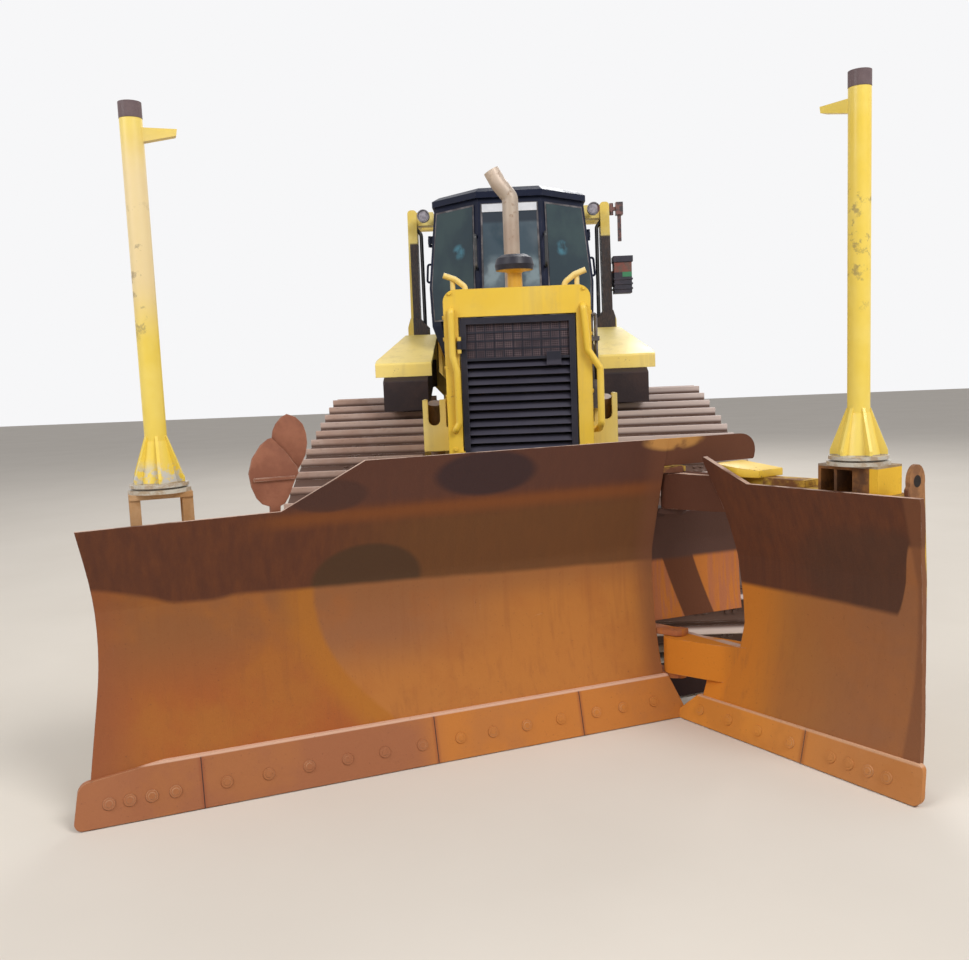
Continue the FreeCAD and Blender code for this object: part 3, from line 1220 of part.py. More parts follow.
tilt_anchor = Vector(0, TILT_Y, TILT_Z)
tilt_eye = Vector(-TILT_REACH, TILT_Y, TILT_Z)
barrel, hollow = cylinder_barrel(tilt_anchor, tilt_eye, 44.0, 26.0 + RUNNING, -62.0, 400.0, 80.0)
lug = box(-63, 0, TILT_Y - 26, TILT_Y + 26, TILT_Z - 38, TILT_Z + 38)
tail = rod(48, tilt_anchor - Vector(0, 26, 0), tilt_anchor + Vector(0, 26, 0)).fuse(lug)
tail_bore = rod(TILT_PIN + RUNNING, tilt_anchor - Vector(0, 60, 0), tilt_anchor + Vector(0, 60, 0))
nodes["tilt_barrel"] = placed(barrel.fuse(tail).cut(hollow).cut(tail_bore).removeSplitter(), False)
tilt_bar = cylinder_rod(tilt_anchor, tilt_eye, 26.0, 310.0, 42.0, EYE_HALF, TILT_PIN, Vector(0, 1, 0))
nodes["tilt_rod"] = placed(tilt_bar, False)

# Angle cylinders, from the push frame's arms to the pockets behind the blade


def angle_cylinder(side):
    turn = math.radians(BLADE_ANGLE)
    root = Vector(side * ANGLE_ROOT_X, ANGLE_ROOT_Y, BALL_Z)
    eye_x = side * ANGLE_LEVER
    eye = Vector(eye_x * math.cos(turn) - ANGLE_BEHIND * math.sin(turn),
                 BALL_Y + eye_x * math.sin(turn) + ANGLE_BEHIND * math.cos(turn), BALL_Z)
    shell, hollow = cylinder_barrel(root, eye, 40.0, 24.0 + RUNNING, 0.0, 600.0, 120.0)
    up = Vector(0, 0, 1)
    tail = rod(48, root - up * 28, root + up * 28)
    bore = rod(ANGLE_PIN + RUNNING, root - up * 60, root + up * 60)
    barrel = shell.fuse(tail).cut(hollow).cut(bore).removeSplitter()
    bar = cylinder_rod(root, eye, 24.0, 595.0, 42.0, 30.0, ANGLE_PIN, up)
    return barrel, bar


for name, side in (("left", 1), ("right", -1)):
    barrel, bar = angle_cylinder(side)
    nodes["angle_barrel_" + name] = barrel
    nodes["angle_rod_" + name] = bar

# Lamps, rails and boxes on the posts


def lamp(x, y, z, radius, depth):
    """Round lamp that faces forward, with a bracket behind it."""
    profile = [(0, 0), (0, radius * 0.55), (depth * 0.35, radius), (depth, radius), (depth, radius - 8),
               (depth - 10, radius - 10), (depth - 10, 0)]
    body = revolve(profile, Vector(x, y + depth, z), Vector(0, -1, 0))
    return body.fuse(box(x - 12, x + 12, y + depth - 6, ROPS_Y + 16, z - 12, z + 12))


def work_lamps():
    pieces = []
    for side in (-1, 1):
        pieces.append(lamp(side * 712, 890, ROPS_TOP - 75, 52, 80).cut(nodes["rops"]))
    rear = revolve([(0, 0), (0, 30), (26, 52), (75, 52), (75, 0)], Vector(0, 1500, ROPS_TOP - 60), Vector(0, 1, 0))
    for side in (-1, 1):
        copy = rear.copy()
        copy.translate(Vector(side * 500, 0, 0))
        pieces.append(copy)
    cluster = [rod(17, Vector(880, ROPS_Y + 30, ROPS_TOP - 110), Vector(880, ROPS_Y + 30, ROPS_TOP - 12)),
               box(840, 960, ROPS_Y + 15, ROPS_Y + 45, ROPS_TOP - 75, ROPS_TOP - 45),
               box(915, 975, ROPS_Y - 10, ROPS_Y + 70, ROPS_TOP - 112, ROPS_TOP - 8),
               box(930, 960, ROPS_Y + 16, ROPS_Y + 46, ROPS_TOP - 330, ROPS_TOP - 111)]
    pieces.append(fused(cluster).cut(nodes["rops"]))
    return Part.makeCompound(pieces)


nodes["work_lamps"] = work_lamps()


def handrails():
    rails = []
    x = ROPS_INNER - 40
    y = ROPS_Y + 50
    route = [Vector(x + 40, y, ROPS_TOP - 150), Vector(x, y, ROPS_TOP - 200), Vector(x, y, FENDER_TOP + 57)]
    for side in (-1, 1):
        rails.append(pipe([Vector(side * p.x, p.y, p.z) for p in route], 50.0, 16.0).cut(nodes["rops"]))
        oval = [Vector(side * 262, 60, 2520), Vector(side * 262, -58, 2520), Vector(side * 262, -58, 2760),
                Vector(side * 262, 80, 2760)]
        rails.append(pipe(oval, 26.0, 12.0).cut(cab_outer))
    return Part.makeCompound(rails)


nodes["handrails"] = handrails()


def receiver_box():
    body = box(885, 1035, ROPS_Y - 30, ROPS_Y + 110, 2370, 2640)
    lip = box(880, 1045, ROPS_Y - 40, ROPS_Y + 120, 2630, 2680)
    arm = box(ROPS_OUTER - 8, 886, ROPS_Y + 20, ROPS_Y + 80, 2430, 2560)
    fins = [box(878, 1042, ROPS_Y - 36, ROPS_Y + 116, z, z + 14) for z in (2400, 2440, 2480)]
    return fused([body, lip, arm] + fins).cut(nodes["rops"])


nodes["receiver_box"] = receiver_box()


def guard_hoses():
    """Three hydraulic hoses clipped down the left side of the guard to the towers."""
    hoses = []
    for x, y, low in ((424, -1800, 1560), (446, -1822, 1620), (446, -1778, 1660)):
        route = [Vector(GUARD_HALF, y, 2050), Vector(x, y, 2050), Vector(x, y, low + 200), Vector(x + 8, y + 4, low)]
        hoses.append(pipe(route, 9.0, 8.0))
    clip = box(GUARD_HALF, 462, -1845, -1755, 1900, 1925)
    block = box(GUARD_HALF, 466, -1850, -1750, 1520, 1680)
    return fused(hoses + [clip, block])


nodes["guard_hoses"] = guard_hoses()

# Export, with the origin under the middle of the outline

os.makedirs("parts", exist_ok=True)
for name in sorted(nodes):
    shape = nodes[name].copy()
    shape.translate(Vector(-ORIGIN_X, -ORIGIN_Y, 0))
    shape.exportStep("parts/" + name + ".step")
print("shoes", shoe_count, "pitch", round(pitch, 2))
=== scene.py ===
import bpy, bmesh, math
from mathutils import Matrix, Vector


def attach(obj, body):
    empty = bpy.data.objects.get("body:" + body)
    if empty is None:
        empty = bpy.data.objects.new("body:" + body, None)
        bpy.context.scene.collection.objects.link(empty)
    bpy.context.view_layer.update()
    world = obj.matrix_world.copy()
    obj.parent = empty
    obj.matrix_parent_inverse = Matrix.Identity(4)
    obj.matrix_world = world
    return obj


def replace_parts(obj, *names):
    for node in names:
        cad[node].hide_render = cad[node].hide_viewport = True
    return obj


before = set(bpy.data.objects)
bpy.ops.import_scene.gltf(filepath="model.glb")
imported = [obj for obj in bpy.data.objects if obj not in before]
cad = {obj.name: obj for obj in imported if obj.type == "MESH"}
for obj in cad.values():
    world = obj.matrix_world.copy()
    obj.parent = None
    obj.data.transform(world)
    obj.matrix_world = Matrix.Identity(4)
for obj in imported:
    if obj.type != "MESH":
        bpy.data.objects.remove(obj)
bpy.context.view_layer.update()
scene = bpy.context.scene

# Camera: eye height above the yard, about seven metres in front of the cab, looking slightly down
# with the frame a little tilted.

eye = (0.0267, -6.5635, 1.7548)
yaw, pitch, roll = (math.radians(degrees) for degrees in (-1.4413, 6.4741, -2.3264))
photo_width, focal_pixels, sensor = 969, 960, 36
ahead = Vector((math.sin(yaw) * math.cos(pitch), math.cos(yaw) * math.cos(pitch), -math.sin(pitch)))
level = Vector((math.cos(yaw), -math.sin(yaw), 0))
above = level.cross(ahead)
camera_right = level * math.cos(roll) + above * math.sin(roll)
camera_up = above * math.cos(roll) - level * math.sin(roll)
camera = bpy.data.objects.new("camera", bpy.data.cameras.new("camera"))
camera.data.sensor_width = sensor
camera.data.sensor_fit = "HORIZONTAL"
camera.data.lens = sensor * focal_pixels / photo_width
camera.matrix_world = Matrix((camera_right, camera_up, -ahead)).transposed().to_4x4()
camera.location = eye
scene.collection.objects.link(camera)
scene.camera = camera

# Yard and daylight: a pale plain floor under a white sky, with one broad lamp high in front on
# each side, so that the worn steel keeps its own colours.


class Shade:
    """A socket in a finish's nodes, so that maths on it is written as maths."""

    def __init__(self, finish, socket):
        self.finish = finish
        self.socket = socket

    def math(self, operation, *others, clamp=False):
        values = {0: self}
        values.update({i + 1: other for i, other in enumerate(others)})
        return self.finish.node("ShaderNodeMath", {"operation": operation, "use_clamp": clamp}, values)

    def __add__(self, other):
        return self.math("ADD", other)

    def __sub__(self, other):
        return self.math("SUBTRACT", other)

    def __rsub__(self, other):
        return self.math("MULTIPLY_ADD", -1.0, other)

    def __mul__(self, other):
        return self.math("MULTIPLY", other)

    def __truediv__(self, other):
        return self.math("DIVIDE", other)

    def __pow__(self, other):
        return self.math("POWER", other)

    __radd__ = __add__
    __rmul__ = __mul__

    def over(self, low, high):
        """0 below low and 1 above high, with a soft step between."""
        values = {"Value": self, "From Min": low, "From Max": high, "To Min": 0.0, "To Max": 1.0}
        return self.finish.node("ShaderNodeMapRange", {"interpolation_type": "SMOOTHSTEP"}, values)

    def under(self, low, high):
        return 1 - self.over(low, high)

    def between(self, start, end, soft):
        return self.over(start - soft, start + soft) * self.under(end - soft, end + soft)

    def either(self, other):
        return self.math("MAXIMUM", other)

    def stripes(self, pitch):
        """Place within each pitch, from 0 to 1."""
        return (self / pitch).math("FRACT")

    def values(self, first, second):
        """The first value where this is 0 and the second where it is 1."""
        return first + self * (second - first)

    def colours(self, first, second):
        """Mixes from the first colour at 0 to the second at 1."""
        values = {"Factor": self, "A": first, "B": second}
        return self.finish.node("ShaderNodeMix", {"data_type": "RGBA", "clamp_factor": True}, values, 2)


def coats(tone, *layers):
    """Lays colours on a tone, one over the other, each where its own cover is 1."""
    for cover, colour in layers:
        tone = cover.colours(tone, colour)
    return tone


class Finish:
    """One material, with the nodes that its surface is made of."""

    def __init__(self, name, **numbers):
        self.material = bpy.data.materials.new(name)
        self.material.use_nodes = True
        self.tree = self.material.node_tree
        self.surface = self.tree.nodes["Principled BSDF"]
        for key, value in numbers.items():
            self.surface.inputs[key.replace("_", " ")].default_value = value
        self.place = self.node("ShaderNodeTexCoord", {}, {}, "Object")
        parts = self.node("ShaderNodeSeparateXYZ", {}, {"Vector": self.place}, 0)
        self.x, self.y, self.z = (Shade(self, parts.socket.node.outputs[i]) for i in range(3))

    def node(self, kind, settings, values, output=0):
        new = self.tree.nodes.new(kind)
        for key, value in settings.items():
            setattr(new, key, value)
        if kind == "ShaderNodeMix":
            slots = {"Factor": 0, "A": 6, "B": 7}
            values = {slots[key]: value for key, value in values.items()}
        for key, value in values.items():
            if isinstance(value, Shade):
                self.tree.links.new(value.socket, new.inputs[key])
            elif isinstance(value, tuple) and len(value) == 3 and new.inputs[key].type == "RGBA":
                new.inputs[key].default_value = (*value, 1.0)
            else:
                new.inputs[key].default_value = value
        return Shade(self, new.outputs[output])

    def stretched(self, scale, turn=0.0):
        """Object coordinates, turned about Z and then scaled along each axis."""
        turned = self.node("ShaderNodeMapping", {}, {"Vector": self.place, "Rotation": (0, 0, turn)})
        return self.node("ShaderNodeMapping", {}, {"Vector": turned, "Scale": scale})

    def noise(self, scale, detail=4.0, rough=0.55, warp=0.0, where=None):
        values = {"Vector": where or self.place, "Scale": scale, "Detail": detail, "Roughness": rough,
                  "Distortion": warp}
        return self.node("ShaderNodeTexNoise", {}, values, "Fac")

    def cells(self, scale, where=None, feature="F1"):
        values = {"Vector": where or self.place, "Scale": scale}
        return self.node("ShaderNodeTexVoronoi", {"feature": feature}, values, "Distance")

    def feed(self, **links):
        for key, value in links.items():
            self.tree.links.new(value.socket, self.surface.inputs[key.replace("_", " ")])

    def edges(self, radius):
        """1 on outer and inner edges, 0 on flats."""
        soft = self.node("ShaderNodeBevel", {"samples": 3}, {"Radius": radius}, "Normal")
        hard = self.node("ShaderNodeNewGeometry", {}, {}, "Normal")
        match = self.node("ShaderNodeVectorMath", {"operation": "DOT_PRODUCT"}, {0: soft, 1: hard}, "Value")
        return match.under(0.8, 0.99)

    def bumps(self, height, depth, radius=0.0):
        """Feeds the normal with bumps that deep, over edges rounded by the radius."""
        values = {"Height": height, "Distance": depth, "Strength": 1.0}
        if radius:
            values["Normal"] = self.node("ShaderNodeBevel", {"samples": 3}, {"Radius": radius}, "Normal")
        self.feed(Normal=self.node("ShaderNodeBump", {}, values))


def lamp(name, place, aim, size, power):
    light = bpy.data.lights.new(name, "AREA")
    light.shape = "DISK"
    light.size = size
    light.energy = power
    holder = bpy.data.objects.new(name, light)
    holder.location = place
    holder.rotation_euler = (Vector(aim) - Vector(place)).to_track_quat("-Z", "Y").to_euler()
    scene.collection.objects.link(holder)


lamp("lamp_left", (6, -8, 9), (0, -1, 1), 5.0, 820)
lamp("lamp_right", (-7, -7, 7), (0, -1, 1), 6.0, 420)
lamp("lamp_rear", (2, 9, 9), (0, 1, 1), 6.0, 600)
world = bpy.data.worlds.new("sky")
world.use_nodes = True
scene.world = world
tree = world.node_tree
sky = tree.nodes["Background"]
sky.inputs["Color"].default_value = (0.95, 0.96, 1.0, 1.0)
sky.inputs["Strength"].default_value = 0.42
seen = tree.nodes.new("ShaderNodeLightPath")
white = tree.nodes.new("ShaderNodeBackground")
white.inputs["Color"].default_value = (0.93, 0.93, 0.94, 1.0)
chosen = tree.nodes.new("ShaderNodeMixShader")
rays = seen.outputs["Is Camera Ray"]
for other in ("Is Glossy Ray", "Is Transmission Ray"):
    either = tree.nodes.new("ShaderNodeMath")
    either.operation = "MAXIMUM"
    tree.links.new(rays, either.inputs[0])
    tree.links.new(seen.outputs[other], either.inputs[1])
    rays = either.outputs[0]
for socket, end in ((rays, chosen.inputs[0]), (sky.outputs[0], chosen.inputs[1]),
                    (white.outputs[0], chosen.inputs[2]),
                    (chosen.outputs[0], tree.nodes["World Output"].inputs["Surface"])):
    tree.links.new(socket, end)
scene.view_settings.view_transform = "Standard"

ground = bmesh.new()
bmesh.ops.create_grid(ground, x_segments=1, y_segments=1, size=40)
floor_mesh = bpy.data.meshes.new("floor")
ground.to_mesh(floor_mesh)
ground.free()
floor = bpy.data.objects.new("floor", floor_mesh)
scene.collection.objects.link(floor)
sand = Finish("pale_floor", Roughness=0.9)
sand.feed(Base_Color=sand.noise(0.8).colours((0.66, 0.6, 0.52), (0.74, 0.68, 0.6)))
floor.data.materials.append(sand.material)

# Hull, rear case and drawbar: welded plate under yellow paint that has chalked in the sun, with
# rust at the chips and dry mud that thickens towards the ground.


def yellow_paint(name, fresh=(0.78, 0.5, 0.055), chalky=(0.86, 0.66, 0.2), mud=0.0, wear=1.0,
                 mud_top=1.1):
    """Sun-worn yellow enamel; mud is how much dry mud lies on it below mud_top metres."""
    paint = Finish(name, Coat_Weight=0.12, Coat_Roughness=0.35)
    fade = paint.noise(1.7, 3, 0.6).over(0.35, 0.68)
    streaks = paint.noise(1.0, 5, 0.6, where=paint.stretched((11, 11, 0.9))).over(0.5, 0.72)
    specks = paint.noise(48, 5, 0.7).over(0.62, 0.67)
    edge = paint.edges(0.007) * paint.noise(14, 4, 0.7).over(0.46, 0.6)
    chips = (specks * paint.noise(2.4, 2).over(0.52, 0.68)).either(edge) * wear
    low = paint.z.under(mud_top * 0.45, mud_top) * mud
    dust = (low + streaks * 0.2 + paint.noise(5, 6, 0.7).over(0.5, 0.75) * 0.16).math("MINIMUM", 0.85)
    base = fade.colours(fresh, chalky)
    base = dust.colours(base, (0.36, 0.24, 0.13))
    rust = paint.noise(70, 3).colours((0.17, 0.065, 0.025), (0.3, 0.13, 0.05))
    paint.feed(Base_Color=chips.colours(base, rust), Roughness=0.4 + fade * 0.14 + dust * 0.35 + chips * 0.3)
    paint.bumps(chips * -0.5 + paint.noise(90, 2) * 0.12 + dust * paint.noise(30, 5) * 0.5, 0.0016, 0.004)
    return paint.material


def finish(material, *nodes):
    """Gives CAD nodes their material."""
    for node in nodes:
        cad[node].data.materials.clear()
        cad[node].data.materials.append(material)


finish(yellow_paint("hull_paint", mud=0.8, mud_top=1.5), "hull", "drawbar", "track_frames", "final_drives")

# Tracks: forty-four pressed shoes a side, each with one tall grouser and four bolts, on two
# rails of forged links joined by bushings. Bare steel, rusty pink-brown where the sun dries it
# and polished along the grouser tips.


def keep(mesh, name, body, material, smooth=True, angle=35):
    """Turns a finished bmesh into a piece that rides on a body and takes a finish."""
    data = bpy.data.meshes.new(name)
    bmesh.ops.recalc_face_normals(mesh, faces=mesh.faces)
    mesh.to_mesh(data)
    mesh.free()
    if smooth:
        data.shade_smooth()
        data.set_sharp_from_angle(angle=math.radians(angle))
    piece = bpy.data.objects.new(name, data)
    scene.collection.objects.link(piece)
    data.materials.append(material)
    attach(piece, body)
    return piece


machine_x, machine_y = 0.108, 0.764
track_middle, shoe_half = 1.08, 0.42
shoes_round = 44
belt_circles = [(y + machine_y, z, radius) for y, z, radius in (
    (-1.5585, 0.43, 0.364), (1.5585, 0.43, 0.364), (0.7, 1.18, 0.339), (-0.8, 0.944, 0.19))]
runs = []
for here, there in zip(belt_circles, belt_circles[1:] + belt_circles[:1]):
    way = math.atan2(there[1] - here[1], there[0] - here[0])
    runs.append(way - math.acos((here[2] - there[2]) / math.dist(here[:2], there[:2])))
stretches = []
for i, normal in enumerate(runs):
    (y0, z0, r0), (y1, z1, r1) = belt_circles[i], belt_circles[(i + 1) % 4]
    out = Vector((0, math.cos(normal), math.sin(normal)))
    start, end = Vector((0, y0, z0)) + out * r0, Vector((0, y1, z1)) + out * r1
    turn = (runs[(i + 1) % 4] - normal) % math.tau
    stretches.append(((end - start).length, start, end - start, normal, 0.0))
    stretches.append((turn * r1, Vector((0, y1, z1)), None, normal, r1))
belt_length = sum(stretch[0] for stretch in stretches)
shoe_pitch = belt_length / shoes_round


def belt_place(distance):
    """The point of the belt's line at a distance along it."""
    left = distance % belt_length
    for length, first, run, normal, radius in stretches:
        if left <= length:
            break
        left -= length
    if not radius:
        return first + run.normalized() * left
    angle = normal + left / radius
    return first + Vector((0, math.cos(angle), math.sin(angle))) * radius


def bar_of(profile, low, high, mesh=None):
    """Extrudes a closed profile of (y, z) points along X from low to high."""
    mesh = mesh or bmesh.new()
    ring = [mesh.verts.new((low, y, z)) for y, z in profile]
    face = mesh.faces.new(ring)
    sides = bmesh.ops.extrude_face_region(mesh, geom=[face])["geom"]
    moved = [v for v in sides if isinstance(v, bmesh.types.BMVert)]
    bmesh.ops.translate(mesh, verts=moved, vec=(high - low, 0, 0))
    return mesh


def bolt_heads(mesh, places, radius, height, facing=(0, 0, 1), sides=6):
    """Stands a bolt head on each place, along the facing direction."""
    turn = Vector((0, 0, 1)).rotation_difference(Vector(facing)).to_matrix().to_4x4()
    for place in places:
        seat = Matrix.Translation(place) @ turn @ Matrix.Translation((0, 0, height / 2))
        bmesh.ops.create_cone(mesh, cap_ends=True, segments=sides, radius1=radius, radius2=radius * 0.92,
                              depth=height, matrix=seat)


shoe = bar_of([(-0.006, -0.004), (0.01, 0.01), (0.022, 0.014), (0.03, 0.06), (0.033, 0.066), (0.041, 0.066),
               (0.044, 0.06), (0.052, 0.014), (0.15, 0.012), (0.186, 0.021), (0.2, 0.016), (0.19, 0.006),
               (0.15, 0.0), (0.01, 0.0)], -shoe_half, shoe_half)
bmesh.ops.recalc_face_normals(shoe, faces=shoe.faces)
ends = [e for e in shoe.edges if abs(e.verts[0].co.x - e.verts[1].co.x) < 0.01]
bmesh.ops.bevel(shoe, geom=ends, offset=0.003, segments=1, profile=0.5, affect="EDGES", material=-1)
bolt_places = [(x, y, 0.011) for x in (-0.105, -0.062, 0.062, 0.105) for y in (0.085, 0.135)]
bolt_heads(shoe, bolt_places, 0.014, 0.011)
link = [(0.0, -0.03), (0.03, -0.002), (0.175, -0.002), (0.196, -0.03), (0.2, -0.062), (0.178, -0.094),
        (0.022, -0.094), (0.002, -0.066)]
for low, high in ((-0.088, -0.047), (0.047, 0.088)):
    bar_of(link, low, high, shoe)
bushing = 0.031
bmesh.ops.create_cone(shoe, cap_ends=True, segments=14, radius1=bushing, radius2=bushing, depth=0.186,
                      matrix=Matrix.Translation((0, 0, -0.048)) @ Matrix.Rotation(math.pi / 2, 4, "Y"))
shoe_data = bpy.data.meshes.new("shoe")
bmesh.ops.recalc_face_normals(shoe, faces=shoe.faces)
shoe.to_mesh(shoe_data)
shoe.free()

track_steel = Finish("track_steel", Metallic=0.25)
rust_cloud = track_steel.noise(2.2, 4, 0.6).over(0.35, 0.65)
scuff = track_steel.noise(30, 5, 0.7, where=track_steel.stretched((1, 4, 4)))
# The rise attribute is a shoe point's height; low between the grousers it marks crevices that are painted dark as
# shade.
rise = track_steel.node("ShaderNodeAttribute", {"attribute_name": "rise"}, {}, "Fac")
bright = track_steel.edges(0.005) * track_steel.noise(9, 3).over(0.4, 0.6) * 0.7
brown = coats(rust_cloud.colours((0.46, 0.3, 0.235), (0.55, 0.41, 0.35)),
              (scuff.over(0.58, 0.74), (0.24, 0.135, 0.095)),
              (track_steel.x.over(0.2, 0.9) * 0.75, (0.66, 0.56, 0.52)),
              (track_steel.z.under(0.05, 0.3), (0.42, 0.33, 0.25)),
              (rise.under(0.02, 0.044) * rise.over(-0.002, 0.0), (0.125, 0.07, 0.052)),
              (bright, (0.62, 0.52, 0.46)))
track_steel.feed(Base_Color=brown, Roughness=0.62 - bright * 0.25 + scuff * 0.2)
track_steel.bumps(scuff * 0.6 + track_steel.noise(110, 3) * 0.4, 0.0015)

for side, node in ((1, "track_left"), (-1, "track_right")):
    chain = bmesh.new()
    rise_layer = chain.verts.layers.float.new("rise")
    for i in range(shoes_round):
        place = belt_place(i * shoe_pitch)
        along = (belt_place((i + 1) * shoe_pitch) - place).normalized()
        across = Vector((-1, 0, 0))
        lift = across.cross(along)
        turn = Matrix((across, along, lift)).transposed().to_4x4()
        before = len(chain.verts)
        chain.from_mesh(shoe_data)
        chain.verts.ensure_lookup_table()
        fresh = chain.verts[before:]
        for v in fresh:
            v[rise_layer] = v.co.z
        centre = place + Vector((side * track_middle + machine_x, 0, 0))
        bmesh.ops.transform(chain, matrix=Matrix.Translation(centre) @ turn, verts=fresh)
    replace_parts(keep(chain, "shoes_" + node[6:], "machine", track_steel.material, angle=30), node)
bpy.data.meshes.remove(shoe_data)

wheel_steel = Finish("wheel_steel", Metallic=0.3)
grease = wheel_steel.noise(7, 4, 0.6).over(0.45, 0.62)
wheel_steel.feed(Base_Color=grease.colours((0.19, 0.125, 0.09), (0.055, 0.042, 0.035)),
                 Roughness=0.75 - grease * 0.25)
wheel_steel.bumps(wheel_steel.noise(40, 5, 0.7), 0.002, 0.004)
finish(wheel_steel.material, "track_rollers", "sprockets")

# Radiator guard, hood and side doors: deep welded plate with rounded shoulders in front, thinner
# pressed panels behind. The paint is freshest here, well above the mud. Hex bolts stand along the
# guard's flanks.


def on_machine(x, y, z):
    """A place given from the machine's own middle, in the frame's coordinates."""
    return Vector((x + machine_x, y + machine_y, z))


guard_paint = yellow_paint("guard_paint", (0.8, 0.52, 0.04), (0.84, 0.59, 0.09), mud=0.25, mud_top=1.5)
finish(guard_paint, "radiator_guard")
finish(yellow_paint("hood_paint", (0.76, 0.54, 0.13), (0.8, 0.63, 0.27), wear=0.7),
       "hood", "side_door_left", "side_door_right")

flank_bolts = bmesh.new()
guard_side, guard_front = 0.41, -1.92
for side in (1, -1):
    for y in (-1.86, -1.62, -1.47):
        places = [on_machine(side * guard_side, y, z) for z in (1.62, 1.78, 1.94, 2.06)]
        bolt_heads(flank_bolts, places, 0.013, 0.01, (side, 0, 0))
    places = [on_machine(side * 0.372, guard_front, z) for z in (1.16, 1.32, 2.19)]
    bolt_heads(flank_bolts, places, 0.012, 0.009, (0, -1, 0))
keep(flank_bolts, "guard_bolts", "machine", guard_paint, angle=30)

# Grille door: a black steel frame with slanted louvres and, in the top band, a sheet of square
# holes behind flat bars. Dust lies along the louvres' lips.


def two_tone(name, first, second, patches, roughness, rougher, **numbers):
    """A finish in patches of two colours, rougher where it is the second."""
    made = Finish(name, **numbers)
    patch = made.noise(*patches[:-2]).over(*patches[-2:])
    made.feed(Base_Color=patch.colours(first, second), Roughness=roughness + patch * rougher)
    return made


grille_black = Finish("grille_black", Specular_IOR_Level=0.3)
dusty = grille_black.noise(4, 5, 0.6).over(0.42, 0.7)
louvre = grille_black.z.between(1.15, 1.8, 0.01) * (grille_black.x - machine_x).between(-0.285, 0.285, 0.004)
tone = coats(dusty.colours((0.014, 0.014, 0.024), (0.03, 0.028, 0.04)),
             (louvre * 0.7, (0.06, 0.055, 0.078)), (grille_black.edges(0.004) * 0.5, (0.13, 0.12, 0.15)))
grille_black.feed(Base_Color=tone, Roughness=0.5 + dusty * 0.25)
grille_black.bumps(grille_black.noise(120, 3) * 0.4, 0.001)
finish(grille_black.material, "grille_door")

mesh_sheet = bmesh.new()
sheet_half, sheet_low, sheet_high, sheet_front = 0.286, 1.828, 2.014, -1.893
across, upright, hole_share = 48, 16, 0.62
half_x, half_z = sheet_half / across, (sheet_high - sheet_low) / upright / 2
for i in range(across):
    for j in range(upright):
        x = -sheet_half + half_x * (2 * i + 1)
        z = sheet_low + half_z * (2 * j + 1)
        outer, inner = ([mesh_sheet.verts.new(on_machine(x + a * half_x * share, sheet_front, z + b * half_z * share))
                         for a, b in ((-1, -1), (1, -1), (1, 1), (-1, 1))] for share in (1, hole_share))
        for k in range(4):
            mesh_sheet.faces.new((outer[k], outer[(k + 1) % 4], inner[(k + 1) % 4], inner[k]))
bmesh.ops.remove_doubles(mesh_sheet, verts=mesh_sheet.verts, dist=0.0002)
bmesh.ops.solidify(mesh_sheet, geom=mesh_sheet.faces, thickness=0.002)
mesh_dust = two_tone("grille_mesh_dust", (0.07, 0.05, 0.062), (0.15, 0.105, 0.115), (9, 5, 0.65, 0.38, 0.64),
                     0.8, 0.1)
mesh_dust.bumps(mesh_dust.noise(140, 3), 0.0008)
keep(mesh_sheet, "grille_mesh", "grille_door", mesh_dust.material, angle=30)

# Radiator core: a finned block of dark aluminium behind the grille door, with flat tubes between
# rows of folded fins.


def rectangle(near, far, low, high):
    return [(near, low), (far, low), (far, high), (near, high)]


core = bmesh.new()
tube_pitch, tube_thick, core_half = 0.0195, 0.008, 0.316
for level in range(46):
    low = 1.15 + tube_pitch * level
    bar_of(rectangle(-1.77, -1.73, low, low + tube_thick), -core_half, core_half, core)
bar_of(rectangle(-1.758, -1.726, 1.14, 2.045), -0.318, 0.318, core)
for v in core.verts:
    v.co = on_machine(*v.co)
core_black = two_tone("core_black", (0.01, 0.01, 0.016), (0.026, 0.022, 0.026), (5, 4, 0.6, 0.4, 0.7), 0.6, 0.2,
                      Metallic=0.3)
core_black.bumps(core_black.x.stripes(0.004) + core_black.noise(90, 3) * 0.3, 0.0008)
keep(core, "radiator_core", "machine", core_black.material, angle=30)

# Hoses beside the guard: rubber over wire braid, greyed by dust.

rubber = two_tone("hose_rubber", (0.06, 0.055, 0.062), (0.23, 0.21, 0.22), (9, 4, 0.6, 0.4, 0.7), 0.6, 0.2)
rubber.bumps(rubber.z.stripes(0.006), 0.0006)
finish(rubber.material, "guard_hoses")

# Intake: a dark moulded disc that spins the dust out of the air, on an ochre neck.

intake = Finish("intake_plastic", Specular_IOR_Level=0.3)
bloom = intake.noise(6, 4).over(0.4, 0.7)
disc = bloom.colours((0.014, 0.013, 0.022), (0.034, 0.032, 0.045))
intake.feed(Base_Color=intake.z.under(2.374, 2.38).colours(disc, (0.6, 0.33, 0.04)), Roughness=0.38 + bloom * 0.2)
intake.bumps(intake.noise(60, 4), 0.0008)
finish(intake.material, "precleaner")

# Exhaust: heat-browned steel tube, lighter where the scale has flaked.

scaled = Finish("exhaust_steel", Metallic=0.2)
flakes = scaled.noise(26, 6, 0.65).over(0.56, 0.7)
hot = coats(scaled.noise(3, 3).over(0.35, 0.65).colours((0.36, 0.27, 0.21), (0.43, 0.35, 0.28)),
            (scaled.z.over(2.93, 3.05), (0.56, 0.45, 0.36)), (flakes * 0.6, (0.27, 0.16, 0.1)))
scaled.feed(Base_Color=hot, Roughness=0.5 + flakes * 0.3)
scaled.bumps(flakes + scaled.noise(80, 3) * 0.3, 0.0012)
finish(scaled.material, "exhaust")

# Cab: navy steel frames with tinted panes in them, and dark plastic inside. The paint has rubbed
# through to grey at the edges.

